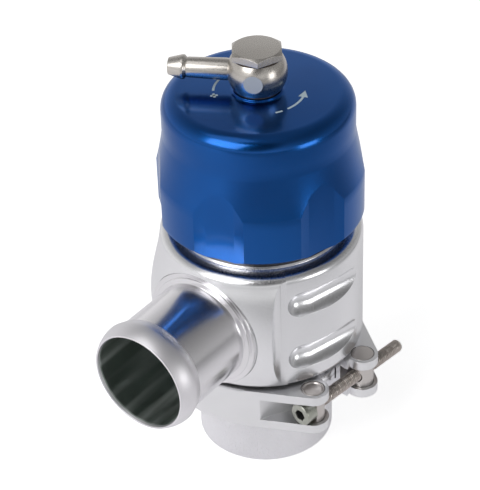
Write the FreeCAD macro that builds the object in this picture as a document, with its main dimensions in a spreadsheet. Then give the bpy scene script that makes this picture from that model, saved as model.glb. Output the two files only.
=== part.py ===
import FreeCAD, Part
import math
import os
import re

import Sketcher

# Blow-off valve with a side outlet, a turned adjuster cap and a V-band clamp at its inlet.
# Millimetres. +Z runs up the valve's axis, +X out of the outlet. The origin is on the axis,
# on the bottom face of the inlet adapter.

doc = FreeCAD.newDocument("BlowOffValve")
sheet = doc.addObject("Spreadsheet::Sheet", "Sizes")

# Driving sizes: name, value, what it is
drivingSizes = [
    ("inletTubeRadius", 25.4, "weld-on inlet tube, 2 inch outside"),
    ("inletWall", 3.4, "wall of the inlet tube"),
    ("inletChamfer", 1.2, "chamfer round the tube's lower edge"),
    ("jointHeight", 35.75, "plane where adapter and valve body meet"),
    ("faceGap", 0.03, "running gap between flat faces that turn on each other"),
    ("cutOver", 1.0, "how far a cut runs past the face it opens"),
    ("flangeRise", 5.6, "V flanges outside the inlet tube"),
    ("flangeEdge", 2.5, "thickness of a V flange at its rim"),
    ("flangeTaper", 20.0, "slope of a V flange's back, degrees"),
    ("inletSealInset", 4.5, "middle of the inlet O-ring's groove from the bore"),
    ("inletSealSection", 2.0, "thickness of the inlet O-ring"),
    ("sealGrooveWidth", 1.2, "width of an O-ring's groove over its thickness"),
    ("clampWall", 5.6, "clamp outside its V groove"),
    ("clampWidth", 16.5, "height of the clamp along the axis"),
    ("clampGap", 3.2, "gap between the clamp halves"),
    ("clampEdge", 0.7, "chamfer on the clamp's outer edges"),
    ("clampAzimuth", 82.5, "direction of the gap between the lugs, degrees"),
    ("lipClearance", 1.1, "clamp lips to tube"),
    ("grooveClearance", 0.15, "V groove to V flange"),
    ("trunnionOffset", 0.1, "trunnion axis outside the clamp"),
    ("trunnionSpread", 13.6, "trunnion axis from the middle of the gap"),
    ("trunnionRadius", 4.25, "trunnion"),
    ("trunnionDish", 0.5, "depth of the dish in the front trunnion's top"),
    ("dishRim", 0.6, "rim round the dish"),
    ("pivotPlay", 0.08, "radial play of a trunnion or pin in its hole"),
    ("earWall", 1.55, "wall of a lug's ear round its trunnion"),
    ("slotPlay", 0.7, "slot between a lug's ears over the screw's head"),
    ("slotWall", 1.4, "wall between the slot's flat floor and the V groove"),
    ("hingeOffset", 2.5, "hinge pin outside the clamp"),
    ("hingePinRadius", 2.0, "hinge pin"),
    ("knuckleWall", 2.4, "wall of the hinge knuckles"),
    ("knuckleGap", 0.3, "gap between knuckles and round them"),
    ("screwRadius", 2.5, "M5 clamp screw"),
    ("screwLength", 50.0, "clamp screw under its head"),
    ("screwHeadRadius", 4.25, "clamp screw's head"),
    ("screwHeadLength", 5.0, "clamp screw's head"),
    ("screwHeadEdge", 0.3, "chamfer of the clamp screw's head"),
    ("screwTipEdge", 0.6, "chamfer of the clamp screw's tip"),
    ("screwKeyWidth", 4.0, "hexagon socket across flats"),
    ("screwKeyDepth", 2.6, "hexagon socket"),
    ("screwSeat", 2.1, "head's seat from the front trunnion's axis"),
    ("screwPlay", 0.3, "screw in the trunnions"),
    ("bodyClearance", 1.0, "gap between clamp and valve body"),
    ("bodyMargin", 3.4, "height of the body over the collar's width"),
    ("bodyWall", 9.9, "body outside its chamber"),
    ("bodyRounding", 3.4, "rounding of the body's edges"),
    ("shoulderInset", 3.5, "rounded edge of the boss's flat ends inside the body's side"),
    ("bossRise", 5.0, "outlet boss at its fullest outside the body's side"),
    ("bossSag", 4.4, "how much the barrel of the boss falls back to its edges"),
    ("bossRounding", 3.0, "height of the boss's edge roundings"),
    ("bossHalfAngle", 40.5, "outlet boss each side of the outlet, degrees"),
    ("runOutRadius", 7.0, "cutter that blends the boss into the body's sides"),
    ("collarSeatDepth", 2.9, "floor of the collar's seat inside the body's side"),
    ("fingerCutter", 5.5, "ball cutter of the finger grooves"),
    ("fingerDepth", 3.9, "depth of the finger grooves"),
    ("fingerAzimuth", 75.5, "direction of the long facet of a finger groove, degrees"),
    ("fingerTurn", 20.0, "turn between a finger groove's two facets, degrees"),
    ("fingerLead", 2.5, "start of a finger groove past its short facet's middle, degrees"),
    ("fingerSpacing", 23.4, "height between the two finger grooves of a side"),
    ("seatStep", 3.0, "bore through the valve seat inside the inlet's bore"),
    ("seatWidth", 2.2, "width of the seat's lip"),
    ("seatRise", 1.5, "seat's lip over the chamber floor"),
    ("pistonOverlap", 4.0, "guide bore outside the seat's bore"),
    ("chamberRise", 4.0, "chamber floor over the body's underside"),
    ("chamberRecess", 4.0, "chamber outside the guide bore"),
    ("chamberRoof", 7.0, "metal between chamber and shoulder"),
    ("neckWall", 7.6, "wall of the threaded neck"),
    ("neckHeight", 24.0, "neck over the shoulder"),
    ("neckChamfer", 1.0, "chamfer round the neck's top"),
    ("capSealInset", 5.0, "middle of the cap O-ring below the neck's top"),
    ("capSealSection", 2.0, "thickness of the cap O-ring"),
    ("outletDrop", 1.55, "outlet's axis below the middle of the body"),
    ("outletTubeRadius", 19.05, "outlet tube for a 38 mm hose"),
    ("outletWall", 1.3, "wall of the outlet tube"),
    ("outletLength", 39.5, "outlet tube from the collar's seat to its mouth"),
    ("portStep", 0.75, "body's port inside the outlet tube's bore"),
    ("spigotRise", 0.85, "part of the outlet tube inside the body, outside the tube"),
    ("spigotDepth", 5.8, "outlet tube inside the body"),
    ("outletSealSection", 1.5, "thickness of the outlet O-ring"),
    ("outletSealLand", 1.5, "land between the outlet O-ring and the collar's seat"),
    ("collarRise", 3.75, "collar outside the outlet tube"),
    ("collarLength", 3.0, "collar on its seat"),
    ("collarRounding", 0.4, "rounding of the collar's edge"),
    ("collarPlay", 0.1, "collar in its seat"),
    ("stepRise", 1.95, "step on the collar outside the outlet tube"),
    ("stepLength", 0.9, "step on the collar"),
    ("stepTaper", 0.4, "sloping part of the step"),
    ("beadRise", 1.55, "hose bead at its fullest outside the tube"),
    ("beadLength", 9.8, "bead from the mouth to its shoulder"),
    ("beadPeak", 6.4, "fullest place of the bead from the mouth"),
    ("beadNose", 2.9, "middle of the bead's nose from the mouth"),
    ("beadNoseDrop", 0.5, "how far the bead has come down there"),
    ("beadShoulder", 0.5, "height of the shoulder behind the bead"),
    ("mouthTaper", 0.25, "outer edge of the mouth inside the tube's outside"),
    ("mouthFlare", 0.45, "opening of the bore at the mouth"),
    ("mouthFlareLength", 1.5, "opening of the bore at the mouth"),
    ("pistonPlay", 0.08, "piston in its guide bore"),
    ("pistonEngagement", 13.0, "piston's skirt over the chamber's roof"),
    ("pistonWall", 2.7, "wall of the skirt"),
    ("pistonFloor", 6.5, "floor of the piston"),
    ("ringDepth", 1.2, "depth of the skirt's ring grooves"),
    ("pistonSealHeight", 2.2, "height of the piston seal"),
    ("guideRingHeight", 3.6, "height of the guide ring"),
    ("ringLand", 2.0, "land between the rings and above them"),
    ("ringPlay", 0.04, "rings in the guide bore"),
    ("seatSealHeight", 2.0, "height of the seat seal"),
    ("seatSealProud", 0.55, "seat seal below the piston's face"),
    ("springClearance", 2.22, "return spring inside the skirt"),
    ("springWire", 2.8, "wire of the return spring"),
    ("springTurns", 8.0, "turns of the return spring"),
    ("springSeatMargin", 1.4, "spring seat outside the spring"),
    ("springSeatThickness", 3.0, "spring seat"),
    ("springSeatCollar", 3.2, "wall of the collar round the cap's inner boss"),
    ("springSeatCollarHeight", 6.5, "collar over the plate"),
    ("washerThickness", 1.0, "thrust washer"),
    ("preloadGap", 6.0, "travel left under the cap"),
    ("capPlay", 0.1, "cap on the neck"),
    ("capWall", 6.6, "wall of the cap at its grip"),
    ("capEdge", 1.4, "chamfer under the cap"),
    ("capGripHeight", 18.0, "grip over the cap's lower edge"),
    ("capWaistInset", 3.3, "upper part of the cap inside the grip"),
    ("capFlareHeight", 15.5, "flare between grip and upper part"),
    ("capFlareSag", 0.25, "hollow of the flare between grip and upper part"),
    ("capCrownHeight", 15.1, "upper part of the cap"),
    ("capRounding", 7.5, "rounding of the cap's top edge"),
    ("capRoof", 6.6, "thickness of the cap's top"),
    ("scallopRadius", 50.0, "cutter of the cap's finger scallops"),
    ("scallopDepth", 2.1, "depth of a scallop"),
    ("scallopAzimuth", 12.5, "direction of the first scallop, degrees"),
    ("scallopCount", 6, "scallops round the cap"),
    ("capBossRise", 3.8, "raised ring under the fitting outside the bolt"),
    ("capBossHeight", 0.9, "raised ring under the fitting"),
    ("innerBossWall", 4.0, "wall of the boss under the cap's top"),
    ("innerBossLength", 10.0, "boss under the cap's top"),
    ("boltRadius", 5.0, "banjo bolt's shank"),
    ("boltBore", 2.0, "banjo bolt's bore"),
    ("boltCross", 1.6, "banjo bolt's cross hole"),
    ("boltHeadWidth", 17.0, "hexagon across flats"),
    ("boltHeadHeight", 2.8, "hexagon"),
    ("boltHeadEdge", 0.3, "flat circle on top of the hexagon inside its flats"),
    ("boltHeadAzimuth", 37.5, "direction of a corner of the hexagon, degrees"),
    ("sealWasherThickness", 0.8, "washer under the fitting"),
    ("headWasherThickness", 0.5, "washer under the hexagon"),
    ("ballRadius", 10.5, "banjo fitting"),
    ("ballHeight", 11.8, "banjo fitting between its flats"),
    ("ballGallery", 5.0, "height of the ring channel inside"),
    ("ballSpot", 3.6, "round spot flats on the ball"),
    ("nippleAzimuth", -62.5, "direction of the nipple, degrees"),
    ("nippleRadius", 3.6, "nipple"),
    ("nippleWall", 1.8, "wall of the nipple"),
    ("nippleLength", 20.5, "nipple from the ball to its tip"),
    ("nippleDepth", 3.3, "nipple inside the ball"),
    ("barbRise", 0.7, "hose barb outside the nipple"),
    ("barbLength", 5.6, "barb from the tip"),
    ("barbLand", 0.84, "straight part of the barb"),
    ("tipTaper", 0.6, "tip of the nipple inside its outside"),
    ("tipLength", 0.4, "chamfer of the tip"),
    ("tipChamfer", 0.2, "chamfer of the tip on either side of its radius"),
]

sizeNames = [size[0] for size in drivingSizes]
for row, (name, value, note) in enumerate(drivingSizes, start=1):
    sheet.set("A%d" % row, note)
    sheet.set("B%d" % row, str(value))
    sheet.setAlias("B%d" % row, name)
doc.recompute()

# Sizes that follow from the driving ones
worked = {
    "inletBoreRadius": "inletTubeRadius - inletWall",
    "flangeRadius": "inletTubeRadius + flangeRise",
    "flangeRoot": "flangeEdge + flangeRise * tan(flangeTaper)",
    "inletSealRadius": "inletBoreRadius + inletSealInset",
    "inletSealGroove": "inletSealSection * sealGrooveWidth / 2",
    "clampBottom": "jointHeight - clampWidth / 2",
    "clampTop": "jointHeight + clampWidth / 2",
    "lipRadius": "inletTubeRadius + lipClearance",
    "grooveRadius": "flangeRadius + grooveClearance * 2",
    "grooveAtLip": "flangeEdge + grooveClearance + (flangeRadius - lipRadius) * tan(flangeTaper)",
    "grooveAtRoot": "flangeEdge + grooveClearance - (grooveRadius - flangeRadius) * tan(flangeTaper)",
    "clampRadius": "grooveRadius + clampWall",
    "trunnionReach": "clampRadius + trunnionOffset",
    "earRadius": "trunnionRadius + earWall",
    "slotHeight": "2 * screwHeadRadius + slotPlay",
    "slotFloor": "grooveRadius + slotWall",
    "hingeReach": "clampRadius + hingeOffset",
    "knuckleRadius": "hingePinRadius + knuckleWall",
    "screwHeight": "jointHeight",
    "seatBoreRadius": "inletBoreRadius - seatStep",
    "guideBoreRadius": "seatBoreRadius + pistonOverlap",
    "chamberRadius": "guideBoreRadius + chamberRecess",
    "collarRadius": "outletTubeRadius + collarRise",
    "bodyRadius": "chamberRadius + bodyWall",
    "bodyBottom": "clampTop + bodyClearance",
    "bodyHeight": "2 * collarRadius + bodyMargin",
    "bodyTop": "bodyBottom + bodyHeight",
    "bodyMiddle": "bodyBottom + bodyHeight / 2",
    "shoulderRadius": "bodyRadius - shoulderInset",
    "bossRadius": "bodyRadius + bossRise",
    "bossEdgeRadius": "bossRadius - bossSag",
    "runOutReach": "bodyRadius + runOutRadius",
    "runOutCosine": "(runOutReach ^ 2 + bossRadius ^ 2 - runOutRadius ^ 2) / (2 * runOutReach * bossRadius)",
    "runOutAzimuth": "bossHalfAngle + acos(runOutCosine) / (1 deg)",
    "fingerPath": "bodyRadius - fingerDepth + fingerCutter",
    "fingerStart": "fingerAzimuth - fingerTurn + fingerLead",
    "chamberFloor": "bodyBottom + chamberRise",
    "chamberTop": "bodyTop - chamberRoof",
    "seatHeight": "chamberFloor + seatRise",
    "neckRadius": "guideBoreRadius + neckWall",
    "neckTop": "bodyTop + neckHeight",
    "capSealHeight": "neckTop - capSealInset",
    "capSealGroove": "capSealSection * sealGrooveWidth / 2",
    "outletHeight": "bodyMiddle - outletDrop",
    "outletBoreRadius": "outletTubeRadius - outletWall",
    "portRadius": "outletBoreRadius - portStep",
    "spigotRadius": "outletTubeRadius + spigotRise",
    "collarSeat": "bodyRadius - collarSeatDepth",
    "spigotEnd": "collarSeat - spigotDepth",
    "outletSealEnd": "collarSeat - outletSealLand",
    "collarEnd": "collarSeat + collarLength",
    "stepRadius": "outletTubeRadius + stepRise",
    "outletReach": "collarSeat + outletLength",
    "beadRadius": "outletTubeRadius + beadRise",
    "mouthRadius": "outletTubeRadius - mouthTaper",
    "capBottom": "bodyTop + preloadGap",
    "capBore": "neckRadius + capPlay",
    "capRadius": "capBore + capWall",
    "capWaistRadius": "capRadius - capWaistInset",
    "capWaistHeight": "capGripHeight + capFlareHeight",
    "capHeight": "capWaistHeight + capCrownHeight",
    "capTop": "capBottom + capHeight",
    "scallopFloor": "capRadius - scallopDepth",
    "roofHeight": "capTop - capRoof",
    "innerBossRadius": "boltRadius + innerBossWall",
    "innerBossEnd": "roofHeight - innerBossLength",
    "springSeatTop": "innerBossEnd - washerThickness - faceGap",
    "springTop": "springSeatTop - springSeatThickness",
    "springCollarInner": "innerBossRadius + capPlay",
    "springCollarOuter": "springCollarInner + springSeatCollar",
    "pistonBottom": "seatHeight + seatSealProud + faceGap",
    "pistonRadius": "guideBoreRadius - pistonPlay",
    "pistonTop": "chamberTop + pistonEngagement",
    "springBottom": "pistonBottom + pistonFloor",
    "springRadius": "pistonRadius - pistonWall - springClearance",
    "springSeatRadius": "springRadius + springSeatMargin",
    "springFree": "springTop - springBottom - springWire - 2 * faceGap",
    "ringOuter": "guideBoreRadius - ringPlay",
    "ringInner": "pistonRadius - ringDepth",
    "pistonSealBottom": "pistonTop - ringLand - pistonSealHeight",
    "guideRingBottom": "pistonSealBottom - ringLand - guideRingHeight",
    "capBossRadius": "boltRadius + capBossRise",
    "capBossTop": "capTop + capBossHeight",
    "ballBottom": "capBossTop + sealWasherThickness + faceGap",
    "ballCentre": "ballBottom + ballHeight / 2",
    "boltHeadCorner": "boltHeadWidth / 2 / cos(30)",
    "boltHeadTop": "boltHeadWidth / 2 - boltHeadEdge",
    "headBottom": "ballBottom + ballHeight + faceGap + headWasherThickness",
    "boltEnd": "innerBossEnd + 2 * faceGap",
    "nippleBore": "nippleRadius - nippleWall",
    "nippleReach": "ballRadius + nippleLength",
    "nippleRoot": "ballRadius - nippleDepth",
    "barbRadius": "nippleRadius + barbRise",
    "tipRadius": "nippleRadius - tipTaper",
}


def tied(formula):
    """A size formula in the document's own terms."""
    def swap(word):
        name = word.group(0)
        if name in worked:
            return "(" + tied(worked[name]) + ")"
        return "Sizes." + name if name in sizeNames else name
    return re.sub(r"[A-Za-z]\w*", swap, str(formula))


def number(formula):
    """What a size formula comes to now."""
    result = sheet.evalExpression(tied(formula))
    return float(getattr(result, "Value", result))


def bind(thing, **formulas):
    """Ties properties of a thing to size formulas."""
    for name, formula in formulas.items():
        thing.setExpression(name, tied(formula))


def place(thing, x="0", y="0", z="0", turn="0", axis=("0", "0", "1")):
    """Ties a thing's place to size formulas: a point, and a turn in degrees about an axis."""
    direction = FreeCAD.Vector(*[number(part) for part in axis])
    point = FreeCAD.Vector(number(x), number(y), number(z))
    thing.Placement = FreeCAD.Placement(point, FreeCAD.Rotation(direction, number(turn)))
    for name, formula in (("x", x), ("y", y), ("z", z)):
        thing.setExpression("Placement.Base." + name, tied(formula))
    if turn != "0":
        thing.setExpression("Placement.Rotation.Angle", tied(turn))
    for name, formula in zip("xyz", axis):
        if formula not in ("0", "1"):
            thing.setExpression("Placement.Rotation.Axis." + name, tied(formula))


def newBody(label):
    body = doc.addObject("PartDesign::Body", label.title().replace("_", ""))
    body.Label = label
    return body


def newSketch(body, plane, name):
    sketch = body.newObject("Sketcher::SketchObject", name)
    origin = [f for f in body.Origin.OriginFeatures if f.Role == plane][0]
    sketch.AttachmentSupport = [(origin, "")]
    sketch.MapMode = "FlatFace"
    return sketch


def arcThrough(start, middle, end):
    """The arc through three points, anticlockwise, and whether that swaps its ends."""
    circle = Part.ArcOfCircle(start, middle, end)
    centre = circle.Center
    radius = (start - centre).Length
    swapped = (middle - start).cross(end - middle).z < 0
    first, last = (end, start) if swapped else (start, end)
    angles = [math.atan2(p.y - centre.y, p.x - centre.x) for p in (first, last)]
    if angles[1] <= angles[0]:
        angles[1] += 2 * math.pi
    round_ = Part.Circle(centre, FreeCAD.Vector(0, 0, 1), radius)
    return Part.ArcOfCircle(round_, angles[0], angles[1]), swapped


def fixPoint(sketch, geometry, end, corner):
    """Holds a point of the sketch at two size formulas."""
    for kind, formula in zip(("DistanceX", "DistanceY"), corner):
        index = sketch.addConstraint(Sketcher.Constraint(kind, -1, 1, geometry, end, number(formula)))
        sketch.setExpression("Constraints[%d]" % index, tied(formula))


def spot(corner):
    """The point that a corner of an outline stands for."""
    return FreeCAD.Vector(number(corner[-2]), number(corner[-1]), 0)


def draw(sketch, corners):
    """A closed outline. A corner is a pair of formulas; one that starts with "via" is a point that
    the line between its neighbours bends through."""
    stops = [index for index, corner in enumerate(corners) if corner[0] != "via"]
    ends = []
    for count, index in enumerate(stops):
        following = stops[(count + 1) % len(stops)]
        bend = corners[(index + 1) % len(corners)]
        start, end = spot(corners[index]), spot(corners[following])
        if bend[0] == "via":
            arc, swapped = arcThrough(start, spot(bend), end)
            geometry = sketch.addGeometry(arc, False)
            ends.append((geometry, 2, 1) if swapped else (geometry, 1, 2))
            guide = sketch.addGeometry(Part.Point(spot(bend)), True)
            fixPoint(sketch, guide, 1, bend[1:])
            sketch.addConstraint(Sketcher.Constraint("PointOnObject", guide, 1, geometry))
        else:
            geometry = sketch.addGeometry(Part.LineSegment(start, end), False)
            ends.append((geometry, 1, 2))
    for count, index in enumerate(stops):
        geometry, first, last = ends[count]
        before = ends[count - 1]
        fixPoint(sketch, geometry, first, corners[index])
        sketch.addConstraint(Sketcher.Constraint("Coincident", before[0], before[2], geometry, first))
    return sketch


def turned(label, corners, axis="V_Axis", angle=None, plane="XZ_Plane"):
    """A body turned from an outline of (radius, height) corners, or of (along, radius) about X."""
    body = newBody(label)
    sketch = draw(newSketch(body, plane, "Profile"), corners)
    feature = body.newObject("PartDesign::Revolution", "Turn")
    feature.Profile = sketch
    feature.ReferenceAxis = (sketch, [axis])
    feature.Angle = 360
    if angle:
        feature.Midplane = True
        feature.setExpression("Angle", tied(angle))
    sketch.Visibility = False
    body.Tip = feature
    return body


def ring(label, inner, outer, bottom, height):
    """A plain ring about the valve's axis."""
    return turned(label, [(inner, bottom), (outer, bottom),
                          (outer, "%s + %s" % (bottom, height)), (inner, "%s + %s" % (bottom, height))])


def cylinder(name, radius, height):
    solid = doc.addObject("Part::Cylinder", name)
    bind(solid, Radius=radius, Height=height)
    return solid


def block(name, length, width, height):
    solid = doc.addObject("Part::Box", name)
    bind(solid, Length=length, Width=width, Height=height)
    return solid


def fused(name, pieces):
    result = doc.addObject("Part::MultiFuse", name)
    result.Shapes = pieces
    return result


def cut(label, base, tools):
    """The base without its tools, as the sub-part or step of that name."""
    result = doc.addObject("Part::Cut", label.title().replace("_", ""))
    result.Label = label
    result.Base = base
    result.Tool = tools[0] if len(tools) == 1 else fused(label + "Tools", tools)
    return result


def torus(label, middle, section, height):
    """An O-ring about the valve's axis."""
    solid = doc.addObject("Part::Torus", label.title().replace("_", ""))
    solid.Label = label
    bind(solid, Radius1=middle, Radius2=section + " / 2")
    place(solid, z=height)
    return solid


subParts = []


def keep(thing):
    subParts.append(thing)
    return thing


# Inlet adapter: weld-on tube with a V flange and an O-ring groove in its face
keep(turned("inlet_adapter", [
    ("inletBoreRadius", "0"),
    ("inletTubeRadius - inletChamfer", "0"),
    ("inletTubeRadius", "inletChamfer"),
    ("inletTubeRadius", "jointHeight - flangeRoot"),
    ("flangeRadius", "jointHeight - flangeEdge"),
    ("flangeRadius", "jointHeight - faceGap"),
    ("inletSealRadius + inletSealGroove", "jointHeight - faceGap"),
    ("inletSealRadius + inletSealGroove", "jointHeight - faceGap - inletSealSection"),
    ("inletSealRadius - inletSealGroove", "jointHeight - faceGap - inletSealSection"),
    ("inletSealRadius - inletSealGroove", "jointHeight - faceGap"),
    ("inletBoreRadius", "jointHeight - faceGap"),
]))
keep(torus("inlet_seal", "inletSealRadius", "inletSealSection",
           "jointHeight - faceGap - inletSealSection / 2"))


# Clamp: two machined halves with a V groove, hinged at the back, with a lug each at the front.
# Each is made with its lug towards +X and the gap along it, then turned to its direction.
def knuckles(name, own, extra):
    """Barrels about the hinge axis: the middle one, or the outer two."""
    third = "clampWidth / 3"
    levels = ["clampBottom + %s" % third] if own == "middle" else ["clampBottom", "clampTop - %s" % third]
    barrels = []
    for index, level in enumerate(levels):
        barrel = cylinder("%s%d" % (name, index), "knuckleRadius + %s" % extra,
                          "%s + %s * 2 - knuckleGap" % (third, extra))
        place(barrel, x="-hingeReach", z="%s + knuckleGap / 2 - %s" % (level, extra))
        barrels.append(barrel)
    return barrels


def clampHalf(label, side):
    """side is -1 for the front half, which carries the screw's head, and 1 for the rear half."""
    name = label.title().replace("_", "")
    band = turned(name + "Band", [
        ("lipRadius", "clampBottom"),
        ("clampRadius - clampEdge", "clampBottom"),
        ("clampRadius", "clampBottom + clampEdge"),
        ("clampRadius", "clampTop - clampEdge"),
        ("clampRadius - clampEdge", "clampTop"),
        ("lipRadius", "clampTop"),
        ("lipRadius", "jointHeight + grooveAtLip"),
        ("grooveRadius", "jointHeight + grooveAtRoot"),
        ("grooveRadius", "jointHeight - grooveAtRoot"),
        ("lipRadius", "jointHeight - grooveAtLip"),
    ])
    # Lug: the ear's round and the two walls that run from it to the band
    middle = "%d * trunnionSpread" % side
    distance = "sqrt(trunnionReach ^ 2 + trunnionSpread ^ 2)"
    lean = ("((acos((clampRadius - earRadius) / %s) + atan(trunnionSpread / trunnionReach)) / (1 deg))"
            % distance)
    lug = newBody(name + "Lug")
    sketch = draw(newSketch(lug, "XY_Plane", "Lug"), [
        ("grooveRadius * cos(%s)" % lean, "%d * grooveRadius * sin(%s)" % (side, lean)),
        ("clampRadius * cos(%s)" % lean, "%d * clampRadius * sin(%s)" % (side, lean)),
        ("trunnionReach + earRadius * cos(%s)" % lean, "%s + %d * earRadius * sin(%s)" % (middle, side, lean)),
        ("via", "trunnionReach + earRadius * cos(%s / 2 - 45)" % lean,
         "%s + %d * earRadius * sin(%s / 2 - 45)" % (middle, side, lean)),
        ("trunnionReach", "%s - %d * earRadius" % (middle, side)),
        ("grooveRadius", "%s - %d * earRadius" % (middle, side)),
    ])
    pad = lug.newObject("PartDesign::Pad", "Height")
    pad.Profile = sketch
    pad.setExpression("Length", tied("clampWidth"))
    sketch.Visibility = False
    lug.Tip = pad
    place(lug, z="clampBottom")

    own, other = ("middle", "outer") if side > 0 else ("outer", "middle")
    solid = fused(name + "Solid", [band, lug])
    farSide = block(name + "FarSide", "4 * clampRadius", "2 * clampRadius", "2 * clampWidth")
    shift = "clampGap / 2 - 2 * clampRadius" if side > 0 else "-clampGap / 2"
    place(farSide, x="-2 * clampRadius", y=shift, z="clampBottom - clampWidth / 2")
    half = cut(name + "Half", solid, [farSide])
    hinged = fused(name + "Hinged", [half] + knuckles(name + "Knuckle", own, "0"))

    slot = block(name + "Slot", "clampRadius", "2 * clampRadius", "slotHeight")
    place(slot, x="slotFloor", y="-clampRadius", z="screwHeight - slotHeight / 2")
    hole = cylinder(name + "Hole", "trunnionRadius + pivotPlay", "2 * clampWidth")
    place(hole, x="trunnionReach", y=middle, z="clampBottom - clampWidth / 2")
    pinHole = cylinder(name + "PinHole", "hingePinRadius" + (" + pivotPlay" if side < 0 else ""),
                       "2 * clampWidth")
    place(pinHole, x="-hingeReach", z="clampBottom - clampWidth / 2")
    bandBore = turned(name + "Bore", [
        ("0", "jointHeight - grooveAtLip"), ("lipRadius", "jointHeight - grooveAtLip"),
        ("grooveRadius", "jointHeight - grooveAtRoot"), ("grooveRadius", "jointHeight + grooveAtRoot"),
        ("lipRadius", "jointHeight + grooveAtLip"), ("0", "jointHeight + grooveAtLip")])
    tools = [slot, hole, pinHole, bandBore] + knuckles(name + "Relief", other, "knuckleGap")
    result = cut(label, hinged, tools)
    place(result, turn="clampAzimuth")
    return keep(result)


clampHalf("clamp_rear_half", 1)
clampHalf("clamp_front_half", -1)

hingePin = cylinder("ClampHingePin", "hingePinRadius", "clampWidth")
hingePin.Label = "clamp_hinge_pin"
place(hingePin, x="-hingeReach * cos(clampAzimuth)", y="-hingeReach * sin(clampAzimuth)", z="clampBottom")
keep(hingePin)

# Trunnions: upright pins in the lugs, cross-drilled for the clamp screw
def lugPlace(thing, along, height, **more):
    """Puts a thing at a lug: a distance along the screw from the middle of the gap."""
    place(thing, x="trunnionReach * cos(clampAzimuth) - (%s) * sin(clampAzimuth)" % along,
          y="trunnionReach * sin(clampAzimuth) + (%s) * cos(clampAzimuth)" % along, z=height, **more)


def trunnion(label, along, holePlay, corners, seat):
    name = label.title().replace("_", "")
    pin = turned(name + "Pin", corners)
    hole = cylinder(name + "Hole", "screwRadius + " + holePlay, "6 * trunnionRadius")
    place(hole, y="3 * trunnionRadius", z="screwHeight", turn="90", axis=("1", "0", "0"))
    tools = [hole]
    if seat:
        flat = block(name + "Flat", "4 * trunnionRadius", "2 * trunnionRadius", "slotHeight")
        place(flat, x="-2 * trunnionRadius", y="-screwSeat - 2 * trunnionRadius",
              z="screwHeight - slotHeight / 2")
        tools.append(flat)
    result = cut(label, pin, tools)
    lugPlace(result, along, "0", turn="clampAzimuth")
    return keep(result)


trunnion("front_trunnion", "-trunnionSpread", "screwPlay", [
    ("0", "clampBottom"), ("trunnionRadius", "clampBottom"),
    ("trunnionRadius", "clampTop - trunnionDish / 2"),
    ("trunnionRadius - trunnionDish / 2", "clampTop"),
    ("trunnionRadius - trunnionDish / 2 - dishRim", "clampTop"), ("0", "clampTop - trunnionDish")], True)
trunnion("rear_trunnion_nut", "trunnionSpread", "screwPlay", [
    ("0", "clampBottom"), ("trunnionRadius", "clampBottom"),
    ("trunnionRadius", "clampTop - trunnionDish / 2"),
    ("trunnionRadius - trunnionDish / 2", "clampTop"), ("0", "clampTop")], False)

# Clamp screw: socket head, made upright with its seat at the origin
screwBlank = turned("ScrewBlank", [
    ("0", "-screwHeadLength"), ("screwHeadRadius - screwHeadEdge", "-screwHeadLength"),
    ("screwHeadRadius", "screwHeadEdge - screwHeadLength"), ("screwHeadRadius", "-faceGap"),
    ("screwRadius", "-faceGap"), ("screwRadius", "screwLength - screwTipEdge"),
    ("screwRadius - screwTipEdge", "screwLength"), ("0", "screwLength")])
screwSocket = doc.addObject("Part::Prism", "ScrewSocket")
screwSocket.Polygon = 6
bind(screwSocket, Circumradius="screwKeyWidth / 2 / cos(30)", Height="screwKeyDepth")
place(screwSocket, z="-screwHeadLength")
clampScrew = cut("clamp_screw", screwBlank, [screwSocket])
lugPlace(clampScrew, "-trunnionSpread - screwSeat", "screwHeight", turn="90",
         axis=("-sin(clampAzimuth + 90)", "cos(clampAzimuth + 90)", "0"))
keep(clampScrew)

# Valve body: turned outside with the outlet boss
bodyTurned = turned("BodyTurned", [
    ("0", "jointHeight"),
    ("flangeRadius", "jointHeight"),
    ("flangeRadius", "jointHeight + flangeEdge"),
    ("inletTubeRadius", "jointHeight + flangeRoot"),
    ("inletTubeRadius", "bodyBottom"),
    ("bodyRadius - bodyRounding", "bodyBottom"),
    ("via", "bodyRadius - bodyRounding * (1 - sin(45))", "bodyBottom + bodyRounding * (1 - cos(45))"),
    ("bodyRadius", "bodyBottom + bodyRounding"),
    ("bodyRadius", "bodyTop - bodyRounding"),
    ("via", "bodyRadius - bodyRounding * (1 - sin(45))", "bodyTop - bodyRounding * (1 - cos(45))"),
    ("bodyRadius - bodyRounding", "bodyTop"),
    ("neckRadius", "bodyTop"),
    ("neckRadius", "capSealHeight - capSealGroove"),
    ("neckRadius - capSealSection", "capSealHeight - capSealGroove"),
    ("neckRadius - capSealSection", "capSealHeight + capSealGroove"),
    ("neckRadius", "capSealHeight + capSealGroove"),
    ("neckRadius", "neckTop - neckChamfer"),
    ("neckRadius - neckChamfer", "neckTop"),
    ("0", "neckTop"),
])
boss = turned("Boss", [
    ("inletTubeRadius", "bodyBottom"),
    ("shoulderRadius", "bodyBottom"),
    ("via", "shoulderRadius + (bossEdgeRadius - shoulderRadius) * sin(45)",
     "bodyBottom + bossRounding * (1 - cos(45))"),
    ("bossEdgeRadius", "bodyBottom + bossRounding"),
    ("via", "bossRadius", "bodyMiddle"),
    ("bossEdgeRadius", "bodyTop - bossRounding"),
    ("via", "shoulderRadius + (bossEdgeRadius - shoulderRadius) * sin(45)",
     "bodyTop - bossRounding * (1 - cos(45))"),
    ("shoulderRadius", "bodyTop"),
    ("inletTubeRadius", "bodyTop"),
], angle="2 * runOutAzimuth")

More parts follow.
